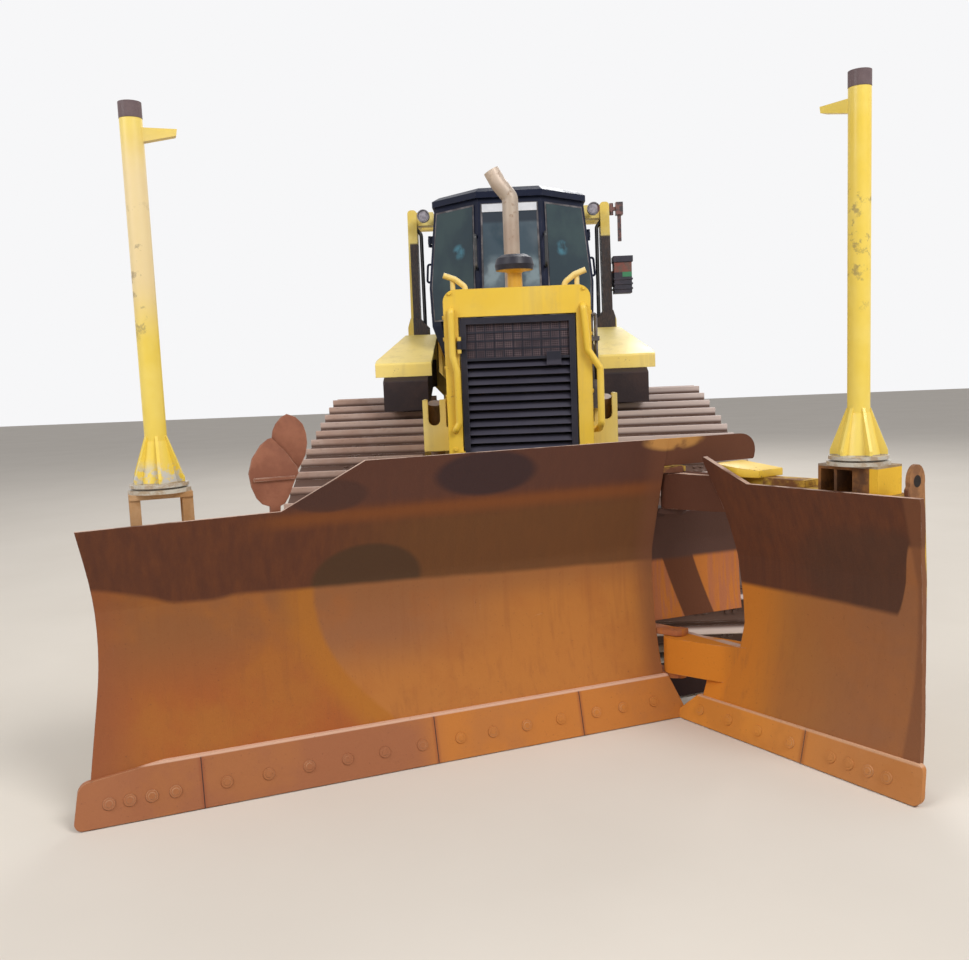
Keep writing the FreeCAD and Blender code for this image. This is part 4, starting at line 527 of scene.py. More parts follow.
frame_paint = Finish("cab_frame_paint", Specular_IOR_Level=0.2)
film = frame_paint.noise(5, 5, 0.6).over(0.42, 0.72)
scratched = frame_paint.edges(0.004) * frame_paint.noise(20, 3).over(0.45, 0.6)
tone = film.colours((0.004, 0.007, 0.024), (0.012, 0.016, 0.04))
frame_paint.feed(Base_Color=(scratched * 0.6).colours(tone, (0.16, 0.15, 0.17)), Roughness=0.35 + film * 0.3)
frame_paint.bumps(frame_paint.noise(140, 2) * 0.5, 0.0008, 0.003)
finish(frame_paint.material, "cab_shell", "cab_door_left", "cab_door_right", "cab_roof")

pane = Finish("tinted_pane", Roughness=0.05, Metallic=0.0, Alpha=0.86)
haze = pane.noise(2.6, 3, 0.5).over(0.4, 0.62)
windscreen_half = 0.235
middle = pane.x.between(machine_x - windscreen_half, machine_x + windscreen_half, 0.01)
deep = haze.colours((0.01, 0.042, 0.07), (0.026, 0.07, 0.085))
pale = haze.colours((0.05, 0.09, 0.125), (0.085, 0.12, 0.15))
pane.feed(Base_Color=middle.colours(deep, pale))
pane.bumps(pane.noise(1.5, 2), 0.004)
finish(pane.material, "cab_glass", "cab_door_glass_left", "cab_door_glass_right")

# Bonded glass: the front's three panes lie over the frame, smoked, on a black gasket. The shell's
# corners are (height, half of the front, front, half at the doors, corner) at sill, waist and top.

bonded = bmesh.new()
gasket = bmesh.new()
cab_rows = ((2.155, 0.245, 0.0, 0.64, 0.4), (2.425, 0.245, 0.0, 0.65, 0.41), (3.0, 0.236, 0.052, 0.59, 0.4185))
for sheet, out, rim in ((gasket, 0.003, 0.0), (bonded, 0.007, 0.014)):
    for side in (-1, 0, 1):
        rows = []
        for (height, half, front, wide, corner), inwards in zip(cab_rows, (1, 0, -1)):
            height += rim * inwards
            if side == 0:
                ends = [(-half + 0.022 + rim, front - out), (half - 0.022 - rim, front - out)]
            else:
                a, b = Vector((side * half, front)), Vector((side * wide, corner))
                step = (b - a).normalized()
                push = Vector((step.y * side, -step.x * side)) * out
                ends = [a + step * (0.04 + rim) + push, b - step * (0.03 + rim) + push]
            rows.append([sheet.verts.new(on_machine(x, y, height)) for x, y in ends])
        for below, above in zip(rows, rows[1:]):
            sheet.faces.new((below[0], below[1], above[1], above[0]))
bonded_glass = Finish("bonded_glass", Roughness=0.1, Specular_IOR_Level=0.4)
inner_light = bonded_glass.noise(2.2, 4, 0.55).over(0.4, 0.64)
across_glass = (bonded_glass.x - machine_x).math("ABSOLUTE")
glow = bonded_glass.z.between(2.38, 2.58, 0.05) * bonded_glass.noise(5, 3).over(0.42, 0.58)
pale = coats(inner_light.colours((0.042, 0.07, 0.095), (0.095, 0.125, 0.15)),
             (bonded_glass.z.over(2.84, 2.87), (0.02, 0.03, 0.045)), (glow, (0.2, 0.26, 0.29)))
deep = inner_light.colours((0.006, 0.026, 0.04), (0.022, 0.052, 0.058))
spots = ((bonded_glass.z - 2.665) / 0.06) ** 2.0 + ((across_glass - 0.395) / 0.05) ** 2.0
spots = spots.under(0.2, 1.3) * bonded_glass.noise(11, 3).over(0.35, 0.6)
glass_tone = across_glass.under(0.225, 0.228).colours(deep, pale)
bonded_glass.feed(Base_Color=(spots * 0.7).colours(glass_tone, (0.06, 0.24, 0.33)))
bonded_glass.bumps(bonded_glass.noise(1.5, 2), 0.003)
keep(gasket, "glass_gasket", "machine", rubber.material, smooth=False)
keep(bonded, "bonded_panes", "machine", bonded_glass.material, smooth=False)

header = bmesh.new()
bar_of([(0.036, 2.935), (0.046, 2.994), (0.05, 2.994), (0.042, 2.935)], -0.205, 0.205, header)
for v in header.verts:
    v.co = on_machine(*v.co)
header_metal = Finish("header_metal", Metallic=0.4, Roughness=0.35)
header_metal.feed(Base_Color=header_metal.noise(12, 4).colours((0.46, 0.47, 0.5), (0.7, 0.7, 0.72)))
header_metal.bumps(header_metal.noise(30), 0.0006)
keep(header, "windscreen_header", "machine", header_metal.material, angle=30)

inside = Finish("cab_inside_plastic")
grain = inside.noise(160, 3)
inside.feed(Base_Color=inside.noise(6).colours((0.04, 0.04, 0.044), (0.085, 0.082, 0.08)), Roughness=0.7 + grain * 0.1)
inside.bumps(grain, 0.0008)
finish(inside.material, "consoles", "seat")

# Seat covers: two stuffed pads of worn grey cloth over the seat's pan and back, with stitched seams
# across them.

cloth = Finish("seat_cloth", Specular_IOR_Level=0.2)
weave = cloth.noise(220, 3)
rubbed_cloth = cloth.noise(7, 4, 0.6).over(0.4, 0.7).colours((0.05, 0.052, 0.06), (0.12, 0.112, 0.105))
cloth.feed(Base_Color=rubbed_cloth, Roughness=0.85 + weave * 0.1)
cloth.bumps(weave, 0.001)


def stuffed_pad(name, half, middle, lean, seams):
    """Swells a block of that half size into a pad; seams pull it in across its length."""
    pad = bmesh.new()
    bmesh.ops.create_cube(pad, size=2.0)
    bmesh.ops.subdivide_edges(pad, edges=pad.edges[:], cuts=15, use_grid_fill=True)
    length_axis, thin_axis = (1, 2) if half[1] > half[2] else (2, 1)
    for v in pad.verts:
        a, b, c = v.co
        swollen = [a * (1 - 0.1 * (b * b + c * c)), b * (1 - 0.07 * (a * a + c * c)), c * (1 - 0.16 * (a * a + b * b))]
        pull = sum(max(0.0, 1 - abs(v.co[length_axis] - seam) / 0.1) for seam in seams)
        swollen[thin_axis] *= 1 - 0.12 * pull
        x, y, z = (swollen[i] * half[i] + middle[i] for i in range(3))
        v.co = on_machine(x, y + lean * (z - middle[2]), z)
    piece = keep(pad, name, "machine", cloth.material, angle=60)


stuffed_pad("seat_cushion", (0.252, 0.262, 0.072), (0.0, 0.808, 2.068), 0.0, (-0.35, 0.25))
stuffed_pad("seat_backrest", (0.24, 0.07, 0.312), (0.0, 1.118, 2.355), 0.2, (-0.3, 0.2))

# Roll-over posts: square yellow box section, near black with brown streaks along the inner part of its shaft,
# black rails and lamps bolted beside it, and the receiver's box on the left post.

post = Finish("post_dark_shaft")
off_middle = (post.x - machine_x).math("ABSOLUTE")
shaft_height = post.z.between(1.95, 2.86, 0.01)
left_post = post.x.over(0.1, 0.2)
# The inner part of each post's shaft is painted near black with brown vertical streaks.
shaft = (shaft_height * off_middle.between(0.7, 0.848, 0.002)).either(
    left_post * shaft_height * off_middle.under(0.885, 0.89))
dark_streaks = post.noise(9, 4, 0.6, where=post.stretched((60, 60, 4))).over(0.42, 0.66)
shaft_tone = dark_streaks.colours((0.024, 0.022, 0.026), (0.11, 0.066, 0.05))
weathered = post.noise(4, 5, 0.6).over(0.38, 0.66)
yellow = weathered.colours((0.78, 0.56, 0.1), (0.84, 0.68, 0.24))
post.feed(Base_Color=shaft.colours(yellow, shaft_tone), Roughness=0.45 + weathered * 0.2)
post.bumps(post.noise(60, 4) * 0.5 + shaft * dark_streaks, 0.001, 0.004)
finish(post.material, "rops")
rail_black = two_tone("rail_black", (0.018, 0.018, 0.02), (0.1, 0.085, 0.075), (12, 4, 0.6, 0.5, 0.72), 0.35, 0.3,
                      Coat_Weight=0.2)
rail_black.bumps(rail_black.noise(90, 3) * 0.5, 0.0006)
finish(rail_black.material, "handrails")
lens = Finish("lamp_lens", Coat_Weight=0.4)
lens_normal = lens.node("ShaderNodeTexCoord", {}, {}, "Normal")
facing = lens.node("ShaderNodeSeparateXYZ", {}, {"Vector": lens_normal}, 1).math("ABSOLUTE").over(0.85, 0.95)
rim = lens.edges(0.01).either(1 - facing)
lens_tone = lens.noise(30, 3).over(0.35, 0.6).colours((0.2, 0.18, 0.21), (0.38, 0.35, 0.39))
lens_tone = rim.colours(lens_tone, (0.022, 0.02, 0.024))
wired = lens.noise(18, 4, 0.65).over(0.42, 0.6).colours((0.03, 0.02, 0.024), (0.19, 0.07, 0.055))
lens.feed(Base_Color=lens.x.over(0.85, 0.855).colours(lens_tone, wired), Roughness=0.3 + rim * 0.3)
lens.bumps(lens.noise(90, 2), 0.0006)
finish(lens.material, "work_lamps")
box_finish = Finish("receiver_box_finish")
grime = box_finish.noise(16, 5, 0.7)
band = grime.over(0.4, 0.6).colours((0.26, 0.065, 0.045), (0.16, 0.085, 0.065))
green = box_finish.z.between(2.505, 2.545, 0.006) * box_finish.x.over(1.06, 1.066)
tone = coats(grime.over(0.4, 0.7).colours((0.018, 0.016, 0.03), (0.05, 0.036, 0.055)),
             (box_finish.z.between(2.545, 2.625, 0.006), band), (green, (0.045, 0.25, 0.11)))
box_finish.feed(Base_Color=tone, Roughness=0.45 + grime * 0.2)
box_finish.bumps(box_finish.noise(70), 0.0006, 0.003)
finish(box_finish.material, "receiver_box")

# Fenders, tank and corner boxes: chalked pale paint on the fenders, mud low on the tank, and sooty
# brown sheet on the boxes beneath.

finish(yellow_paint("fender_paint", (0.97, 0.72, 0.17), (0.99, 0.78, 0.25), wear=0.7), "fenders")
finish(yellow_paint("tank_paint", mud=0.3, mud_top=1.7), "fuel_tank")
corner_paint = two_tone("corner_paint", (0.026, 0.016, 0.018), (0.058, 0.036, 0.034), (3.5, 5, 0.6, 0.4, 0.68),
                        0.6, 0.2, Specular_IOR_Level=0.3)
corner_paint.bumps(corner_paint.noise(60, 4), 0.0012, 0.004)
finish(corner_paint.material, "corner_boxes")

# Push frame, towers and cylinders: muddy yellow arms, paler towers, brown oily barrels and bright
# rods. Behind them in the hood stands the engine's block.

finish(yellow_paint("arm_paint", mud=0.75, mud_top=0.9, wear=1.3), "push_frame", "blade_carrier")
finish(yellow_paint("tower_paint", (0.8, 0.6, 0.14), (0.86, 0.7, 0.28), mud=0.1), "lift_towers")
barrel_paint = two_tone("barrel_paint", (0.2, 0.115, 0.065), (0.065, 0.042, 0.032), (6, 4, 0.6, 0.45, 0.65),
                        0.6, -0.2, Coat_Weight=0.1)
barrel_paint.bumps(barrel_paint.noise(50, 4), 0.001, 0.003)
finish(barrel_paint.material, "lift_barrels", "tilt_barrel", "angle_barrel_left", "angle_barrel_right")
chrome = two_tone("rod_chrome", (0.62, 0.62, 0.63), (0.3, 0.25, 0.21), (20, 4, 0.6, 0.5, 0.7), 0.16, 0.3,
                  Metallic=1.0)
finish(chrome.material, "lift_rods", "tilt_rod", "angle_rod_left", "angle_rod_right")

engine_iron = Finish("engine_iron", Metallic=0.2)
engine_iron.feed(Base_Color=engine_iron.noise(8, 5).colours((0.1, 0.085, 0.07), (0.2, 0.16, 0.12)),
                 Roughness=0.6 + engine_iron.noise(40) * 0.3)
finish(engine_iron.material, "engine_block")

# Blade: rolled plate that rust has taken all over, painted dark brown above a shade line as the shade of the
# curved plate's upper part, and bright orange below as the rust in sun. The steel behind the plate keeps some of its
# yellow paint.

bend_at, bend_depth, upper_lean = 0.85, 0.15, 0.3103
face_rise, face_curl, face_start = 0.4723, 0.3287, 0.014
blade_line = ((-1.745, -2.984), (0.9253, 0.3791))
wing_line = ((0.833, -1.927), (0.5719, -0.8203))


class RustySteel(Finish):
    """Rusted plate that runs from a corner along a way, with the way's own directions."""

    def __init__(self, name, corner, way):
        super().__init__(name, Metallic=0.05, Specular_IOR_Level=0.25)
        self.run = (self.x - corner[0]) * way[0] + (self.y - corner[1]) * way[1]
        self.behind = (self.y - corner[1]) * way[0] - (self.x - corner[0]) * way[1]
        normal = self.node("ShaderNodeTexCoord", {}, {}, "Normal")
        parts = self.node("ShaderNodeSeparateXYZ", {}, {"Vector": normal}, 0).socket.node.outputs
        self.upward = Shade(self, parts[2])
        self.backward = Shade(self, parts[1]) * way[0] - Shade(self, parts[0]) * way[1]
        low_front = self.z * face_rise - self.z * self.z * face_curl - face_start
        high_front = bend_depth - (self.z - bend_at) * upper_lean
        self.skin = self.behind - self.z.over(bend_at - 0.01, bend_at + 0.01).values(low_front, high_front)
        self.streaks = self.noise(1.0, 4, 0.6, where=self.stretched((26, 26, 0.8)))
        self.mottle = self.noise(3.0, 5, 0.62)

    def oval(self, run, height, half_run, half_height, soft=0.25):
        """1 inside an upright oval on the plate."""
        line = ((self.run - run) / half_run) ** 2.0 + ((self.z - height) / half_height) ** 2.0
        return line.under(1.0 - soft, 1.0 + soft)

    def old_paint(self):
        """Worn yellow with rust coming through, for the steel behind the plate."""
        rust_through = self.noise(6, 6, 0.68).over(0.44, 0.6).either(self.edges(0.008))
        paint = self.noise(2, 3).colours((0.66, 0.42, 0.05), (0.58, 0.36, 0.07))
        return rust_through.colours(paint, (0.2, 0.085, 0.035))

    def worn(self, tone):
        """Pale worn metal along the plate's top edge and the sharp corners."""
        ledge = self.upward.over(0.75, 0.95) * self.skin.between(-0.01, 0.036, 0.002)
        ledge = ledge * self.noise(7, 3).over(0.3, 0.5)
        corners = self.edges(0.005) * self.noise(9, 4, 0.7).over(0.46, 0.62)
        return ledge.either(corners * 0.6).colours(tone, (0.6, 0.42, 0.33))

    def rusted(self, tone, roughness=0.72):
        """Puts the colour on the plate with rust's own grain."""
        grain = self.noise(95, 3, 0.6)
        tone = (grain.over(0.64, 0.74) * 0.35).colours(tone, (0.09, 0.04, 0.03))
        self.feed(Base_Color=tone, Roughness=roughness + grain * 0.14)
        self.bumps(grain * 0.4 + self.noise(14, 5, 0.7) * 0.6, 0.0022, 0.004)


rust = RustySteel("blade_rust", *blade_line)
run, z, skin, streaks = rust.run, rust.z, rust.skin, rust.streaks
# Painted shade: the dark tone for the plate above the shade line, where its upper part shades itself, with dark stains
# and ovals in it.
shade_and_stains = coats(streaks.over(0.2, 0.9).colours((0.1, 0.035, 0.019), (0.15, 0.049, 0.02)),
             (run.over(0.95, 1.6) * z.under(1.08, 1.2) * 0.7, (0.15, 0.063, 0.019)),
             (run.over(0.7, 0.95) * z.between(1.13, 1.19, 0.03) * 0.75, (0.215, 0.068, 0.018)),
             (run.over(0.66, 0.8) * z.over(1.17, 1.23) * 0.8, (0.098, 0.04, 0.027)),
             (rust.oval(1.815, 1.3, 0.24, 0.1), (0.048, 0.024, 0.023)),
             (rust.oval(1.1, 1.255, 0.17, 0.07) * 0.7, (0.065, 0.03, 0.023)),
             (rust.oval(1.275, 0.855, 0.25, 0.165, 0.14), (0.078, 0.038, 0.018)))
# Right of a curve across the lower plate the tone is browner near the curve and higher up, and brighter orange low down
# and towards the right end.
curve = run - ((0.8 - z) ** 2.0 * 0.95 + 1.03) - (rust.mottle - 0.5) * 0.03
right_of_curve = coats(run.over(1.35, 2.15).colours((0.29, 0.115, 0.045), (0.44, 0.165, 0.035)),
             (z.under(0.36, 0.62) * 0.85, (0.45, 0.165, 0.034)),
             (z.over(0.62, 0.8) * 0.7, (0.265, 0.104, 0.037)),
             (rust.noise(5, 4, 0.6).over(0.45, 0.7) * 0.35, (0.35, 0.113, 0.027)))
# Painted light: the lower plate below the shade line in brighter orange, as its rust looks in sun.
lit_tone = coats(z.under(0.35, 0.75).colours((0.27, 0.103, 0.035), (0.345, 0.097, 0.023)),
            (rust.noise(2.2, 4, 0.6).over(0.42, 0.66), (0.36, 0.122, 0.024)),
            (run.under(0.1, 0.34) * 0.8, (0.27, 0.087, 0.035)),
            (curve.over(-0.2, -0.05) * 0.8, (0.4, 0.144, 0.019)), (curve.over(-0.012, 0.02), right_of_curve),
            (streaks.over(0.5, 0.72) * 0.25, (0.25, 0.083, 0.027)))
# The shade line across the plate: above it the painted shade tone is laid over the lit tone.
line = (run - 1.3) * -0.035 + 0.832 + run.under(0.05, 0.5) * 0.075 - run.between(0.4, 0.652, 0.068) * 0.018
shadow = z - line - (rust.noise(2.0, 3) - 0.5) * 0.025
# On the middle tongue plate: a diagonal band painted as the upper tongue's cast shadow, and the plate above 0.77 m
# painted as shade.
tongue_shadow_slant = run - 2.73 - (0.8 - z) * 0.36
plate = coats(streaks.over(0.45, 0.6).colours((0.42, 0.144, 0.058), (0.5, 0.165, 0.031)),
              (tongue_shadow_slant.between(0.075, 0.252, 0.005), (0.13, 0.044, 0.019)),
              (z.over(0.755, 0.785), (0.088, 0.042, 0.031)))
worn_band = rust.oval(2.78, 1.385, 0.16, 0.045, 0.5) * rust.noise(7, 4).over(0.35, 0.55)
tone = coats(lit_tone, (shadow.over(-0.014, 0.016), shade_and_stains), (run.over(2.6, 2.72) * 0.6, (0.18, 0.068, 0.035)),
             (run.over(2.735, 2.745) * z.under(1.1, 1.14), plate), (worn_band, (0.55, 0.278, 0.082)))
shelf = (z.between(1.222, 1.258, 0.002) * skin.over(0.008, 0.012)).either(
    z.between(1.258, 1.29, 0.002) * skin.over(0.05, 0.055))
inner = (skin.over(0.036, 0.04) * run.under(2.6, 2.62)).either(rust.backward.over(0.2, 0.5))
inner = inner.either(shelf * run.over(2.69, 2.7))
# Painted shade: the low plate behind the fold is near black, standing in for the shade in the gap under the fold.
fold_gap_shade = rust.behind.over(0.2, 0.21) * z.under(0.205, 0.21) * run.over(2.63, 2.64)
# Painted shade: the steel seen behind the slot at the notch is near black.
slot_shade = run.between(2.736, 2.8, 0.002) * z.between(1.0, 1.26, 0.003) * skin.over(0.012, 0.02)
rust.rusted(coats(run.over(2.66, 2.7).colours(rust.worn(tone), tone), (inner, rust.old_paint()),
                  (fold_gap_shade, (0.03, 0.014, 0.012)),
                  (slot_shade * rust.behind.over(0.1, 0.16), (0.03, 0.016, 0.014))))


def face_depth(height):
    """How far the rolled plate's face lies behind the half's line."""
    if height < bend_at:
        return face_rise * height - face_curl * height ** 2 - face_start
    return bend_depth - (height - bend_at) * upper_lean


def arc(across, up, radius, start, stop, step=15, squash=1.0):
    """Points round a centre, from one angle in degrees to another."""
    angles = [math.radians(angle) for angle in range(start, stop, step)]
    return [(across + radius * math.cos(a), up + radius * squash * math.sin(a)) for a in angles]


class HalfBlade:
    """Steel set out from a corner by its run along a way, its height and how far behind it lies."""

    def __init__(self, corner, way):
        self.corner = corner
        self.onward, self.backward = Vector((*way, 0)), Vector((-way[1], way[0], 0))
        self.mesh = bmesh.new()

    def place(self, run, height, behind):
        return Vector((*self.corner, height)) + self.onward * run + self.backward * behind

    def prism(self, near, far):
        """Closes two equal rings of places into one solid."""
        near, far = ([self.mesh.verts.new(self.place(*place)) for place in ring] for ring in (near, far))
        faces = [self.mesh.faces.new(near[::-1]), self.mesh.faces.new(far)]
        for corners in zip(near, near[1:] + near[:1], far[1:] + far[:1], far):
            faces.append(self.mesh.faces.new(corners))
        return faces

    def block(self, plan, low, high, bevel=0.0, tilt=0.0):
        """Extrudes a plan of (run, behind) points upwards; tilt lowers its top along the run."""
        faces = self.prism([(run, low, behind) for run, behind in plan],
                           [(run, high - tilt * run, behind) for run, behind in plan])
        if bevel:
            bmesh.ops.bevel(self.mesh, geom=list({e for face in faces for e in face.edges}), offset=bevel,
                            segments=2, profile=0.5, affect="EDGES", material=-1)

    def beam(self, section, start, end):
        """Extrudes a section of (behind, height) points along the run."""
        self.prism(*([(run, height, behind) for behind, height in section] for run in (start, end)))

    def rolled(self, outline, thick, set_back=0.0):
        """Cuts a plate to an outline of (run, height) and rolls it to the blade's section."""
        flat = bmesh.new()
        flat.faces.new([flat.verts.new((run, 0, height)) for run, height in outline])
        for i in range(48):
            bmesh.ops.bisect_plane(flat, geom=flat.verts[:] + flat.edges[:] + flat.faces[:],
                                   plane_co=(0, 0, 0.17 + 0.025 * i), plane_no=(0, 0, 1))
        back = bmesh.ops.extrude_face_region(flat, geom=flat.faces[:])["geom"]
        moved = [v for v in back if isinstance(v, bmesh.types.BMVert)]
        bmesh.ops.translate(flat, verts=moved, vec=(0, thick, 0))
        for v in flat.verts:
            v.co = self.place(v.co.x, v.co.z, v.co.y + face_depth(v.co.z) + set_back)
        part = bpy.data.meshes.new("part")
        flat.to_mesh(part)
        flat.free()
        self.mesh.from_mesh(part)
        bpy.data.meshes.remove(part)


blade_panel = HalfBlade(*blade_line)
plate_thick, set_back = 0.02, 0.022
fold_start, band_end = 2.641, 3.276
bowed = [(0.1204, 1.0503), (0.166, 0.77), (0.1231, 0.4893)]
blade_outline = [(0.074, 0.168), (2.74, 0.168), (2.74, 1.399), (1.2565, 1.399), (0.9, 1.204), (0.097, 1.194)]
for t in (i / 8 for i in range(9)):
    blade_outline.append(tuple(a * (1 - t) ** 2 + b * 2 * t * (1 - t) + c * t * t for a, b, c in zip(*bowed)))
blade_panel.rolled(blade_outline, plate_thick)
blade_panel.rolled(rectangle(fold_start, band_end, 0.465, 1.015), plate_thick, set_back)
band = [(fold_start, 1.262), (3.27, 1.262), (band_end, 1.268)] + arc(3.166, 1.286, 0.11, 0, 91, 10)
blade_panel.rolled(band + [(fold_start, 1.396)], plate_thick, set_back)
lower_beam = [(0.072, 0.168), (0.131, 0.385), (0.28, 0.385), (0.28, 0.168)]
upper_beam = [(0.122, 1.0), (0.077, 1.15), (0.28, 1.15), (0.28, 1.0)]
rib = [(0.072, 0.168), (0.131, 0.385), (0.152, 0.5), (0.162, 0.85), (0.122, 1.0), (0.255, 1.01),
       (0.255, 0.38), (0.255, 0.168)]
blade_panel.beam(lower_beam, 0.175, 1.784)
blade_panel.beam(lower_beam, 2.444, 2.655)
blade_panel.beam(upper_beam, 0.175, 2.655)
for start in (0.175, 0.65, 1.19, 1.784, 2.444):
    blade_panel.beam(rib, start, start + 0.025)
ball_run = 2.114
for ears in (ball_run - 0.48, ball_run + 0.48):
    for front, low in ((0.158, 0.61), (0.27, 0.365)):
        blade_panel.block(rectangle(ears - 0.08, ears + 0.08, front, 0.345), low, low + 0.025, 0.003)
    for low in (0.353, 0.634):
        blade_panel.block(arc(ears, 0.28, 0.034, 0, 360, 20), low, low + 0.013, 0.002)
boss = blade_panel.place(ball_run, 0.5, 0.15)
bolt_heads(blade_panel.mesh, [boss], 0.084, 0.036, blade_panel.backward, 28)
blade_panel.block(rectangle(1.434, 1.554, 0.24, 0.385), 0.985, 1.012, 0.003)
fold_pin = (2.8346, 0.06)
tongue_levels = ((0.222, 0.402), (1.05, 1.222))
for low, high in tongue_levels:
    for level in (low - 0.031, high + 0.003):
        front = face_depth(level) + 0.012
        ear = [(fold_start, front), (2.742, front), (2.8, 0.03), (2.84, 0.026), (2.886, 0.06),
               (2.8346, 0.112), (2.761, 0.28), (fold_start, 0.28)]
        blade_panel.block(ear, level, level + 0.028, 0.003)
    blade_panel.block(arc(*fold_pin, 0.03, 0, 360, 20), low - 0.035, high + 0.035, 0.002)
# The fourth of these, low behind the fold from 2.64 to 3.12 m along, is a dark sheet set in the gap there for its
# shade.
for sizes, start, end in (
        ((0.278, 0.294, 0.835, 0.99), 1.44, 1.548), ((0.358, 0.374, 0.835, 0.99), 1.44, 1.548),
        ((0.262, 0.28, 1.0, 1.255), 2.639, 2.8), ((0.232, 0.262, 0.014, 0.2), 2.64, 3.12),
        ((0.262, 0.28, 0.615, 1.001), 2.654, 2.76), ((0.262, 0.28, 0.384, 0.615), 2.682, 2.76)):
    blade_panel.beam(rectangle(*sizes), start, end)
blade_panel.beam([(0.1, 1.255), (0.108, 1.282), (0.142, 1.282), (0.15, 1.255)], 2.7, 3.0)
blade_panel.beam([(0.168, 0.64), (0.17, 0.85), (0.126, 1.0), (0.28, 1.0), (0.28, 0.64)], 2.639, 2.655)
keep(blade_panel.mesh, "blade_panel", "blade", rust.material, angle=32)
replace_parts(bpy.data.objects["blade_panel"], "blade")

# Cutting edges: flat bars butted together under the blade and the wing, each held by flat-headed
# plow bolts with hex nuts behind. Scoured bright orange; soil stays in the seams.

bright_rim, dark_seam = (0.58, 0.34, 0.2), (0.05, 0.025, 0.02)
edge = RustySteel("edge_rust", *blade_line)
tone = coats(edge.run.over(1.4, 1.6).colours((0.335, 0.122, 0.052), (0.5, 0.178, 0.034)),
             (edge.mottle.over(0.45, 0.65) * 0.5, (0.4, 0.15, 0.045)),
             (edge.run.under(0.1, 0.3) * 0.6, (0.38, 0.145, 0.062)))
for seam in (0.504, 1.525, 2.258):
    tone = coats(tone, (edge.run.between(seam - 0.01, seam + 0.01, 0.01) * 0.6, (0.27, 0.07, 0.03)),
                 (edge.run.between(seam - 0.002, seam + 0.002, 0.001), dark_seam))
edge.rusted(coats(tone, (edge.z.over(0.203, 0.209), (0.66, 0.4, 0.28)),
                  (edge.edges(0.006) * edge.noise(5, 4).over(0.4, 0.6) * 0.7, bright_rim)), 0.6)

wing_edge = RustySteel("wing_edge_rust", *wing_line)
run = wing_edge.run
tone = coats(run.over(0.2, 1.1).colours((0.68, 0.26, 0.036), (0.5, 0.205, 0.064)),
             (wing_edge.mottle.over(0.45, 0.65) * 0.4, (0.44, 0.16, 0.035)),
             (run.between(0.715, 0.741, 0.012) * 0.6, (0.3, 0.085, 0.025)),
             (run.between(0.726, 0.73, 0.001), dark_seam),
             ((wing_edge.z - run * 0.018).over(0.126, 0.134) * 0.8, (0.66, 0.4, 0.25)),
             (wing_edge.edges(0.006) * wing_edge.noise(5, 4).over(0.4, 0.6) * 0.7, bright_rim))
wing_edge.rusted(tone, 0.6)

bar_foot, bar_rise, bar_lean, bar_thick = 0.004, 0.212, 0.054, 0.026


def lean_back(height):
    return bar_lean * (height - bar_foot) / bar_rise


def edge_bar(half, outline):
    """Cuts a flat bar to an outline of (run, height); it leans back as it rises."""
    half.prism(*([(run, height, deep + lean_back(height)) for run, height in outline] for deep in (0.0, bar_thick)))


wing_bars = HalfBlade(*wing_line)
tip = arc(1.252, 0.038, 0.034, -90, 1) + arc(1.25, 0.134, 0.026, 0, 91)
edge_bar(wing_bars, [(-0.034, bar_foot), (0.7275, bar_foot), (0.7275, 0.15), (0.094, 0.138), (-0.046, 0.01)])
edge_bar(wing_bars, [(0.7285, bar_foot)] + tip + [(0.7285, 0.15)])
keep(wing_bars.mesh, "wing_edge_bars", "wing", wing_edge.material, angle=32)
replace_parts(bpy.data.objects["wing_edge_bars"], "wing_edge")
main_bars = HalfBlade(*blade_line)
edge_bar(main_bars, [(2.812, bar_foot), (2.828, 0.04), (2.756, 0.216), (0.36, 0.216), (0.07, 0.182)]
         + arc(0.072, 0.132, 0.05, 105, 171) + arc(0.034, 0.034, 0.03, 180, 271))
keep(main_bars.mesh, "blade_edge_bars", "blade", edge.material, angle=32)
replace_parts(bpy.data.objects["blade_edge_bars"], "blade_edge")

blade_bolts = (0.138, 0.217, 0.302, 0.395, 0.6, 0.773, 0.946, 1.115, 1.282, 1.457, 1.64, 1.8, 1.97, 2.147,
               2.336, 2.482, 2.655)
wing_bolts = (0.123, 0.302, 0.478, 0.658, 0.869, 0.957, 1.049, 1.133)
for body, line, steel, places in (("blade", blade_line, edge, blade_bolts), ("wing", wing_line, wing_edge, wing_bolts)):
    heads = HalfBlade(*line)
    out = (Vector((0, 0, bar_lean)) - heads.backward * bar_rise).normalized()
    for place in places:
        height = 0.088 + 0.004 * place if body == "blade" else 0.072
        seat = heads.place(place, height, lean_back(height))
        bolt_heads(heads.mesh, [seat], 0.026, 0.005, out, 20)
        bolt_heads(heads.mesh, [seat + out * 0.0035], 0.015, 0.003, out, 16)
        bolt_heads(heads.mesh, [seat - out * 0.0253], 0.021, 0.016, -out, 6)
    keep(heads.mesh, body + "_plow_bolts", body, steel.material, angle=40)

# Wing: rolled plate like the blade's, cut to its own outline and painted dark above a shade line as shade, on two
# boxed tongues that reach back to the fold's pins. Beams, ribs, the lifting ear with its hole painted as a dark disc of
# shade, and the sloping cover over the upper tongue are welded behind it and still carry yellow paint.

wing_steel = RustySteel("wing_rust", *wing_line)
run, z, skin, streaks = wing_steel.run, wing_steel.z, wing_steel.skin, wing_steel.streaks
# Painted shade: the wing's upper part above its shade line is dark, like the blade's, with a darker oval in it.
shade_and_stains = coats(streaks.over(0.2, 0.9).colours((0.096, 0.035, 0.019), (0.142, 0.047, 0.02)),
             (wing_steel.oval(1.02, 0.86, 0.4, 0.2, 0.5) * 0.6, (0.072, 0.035, 0.022)))
# The shade line rises near the wing's end, so the painted shade stops short of it.
shadow = z - 0.706 - run.over(1.08, 1.17) * 0.3 - (wing_steel.noise(2.0, 3) - 0.5) * 0.02
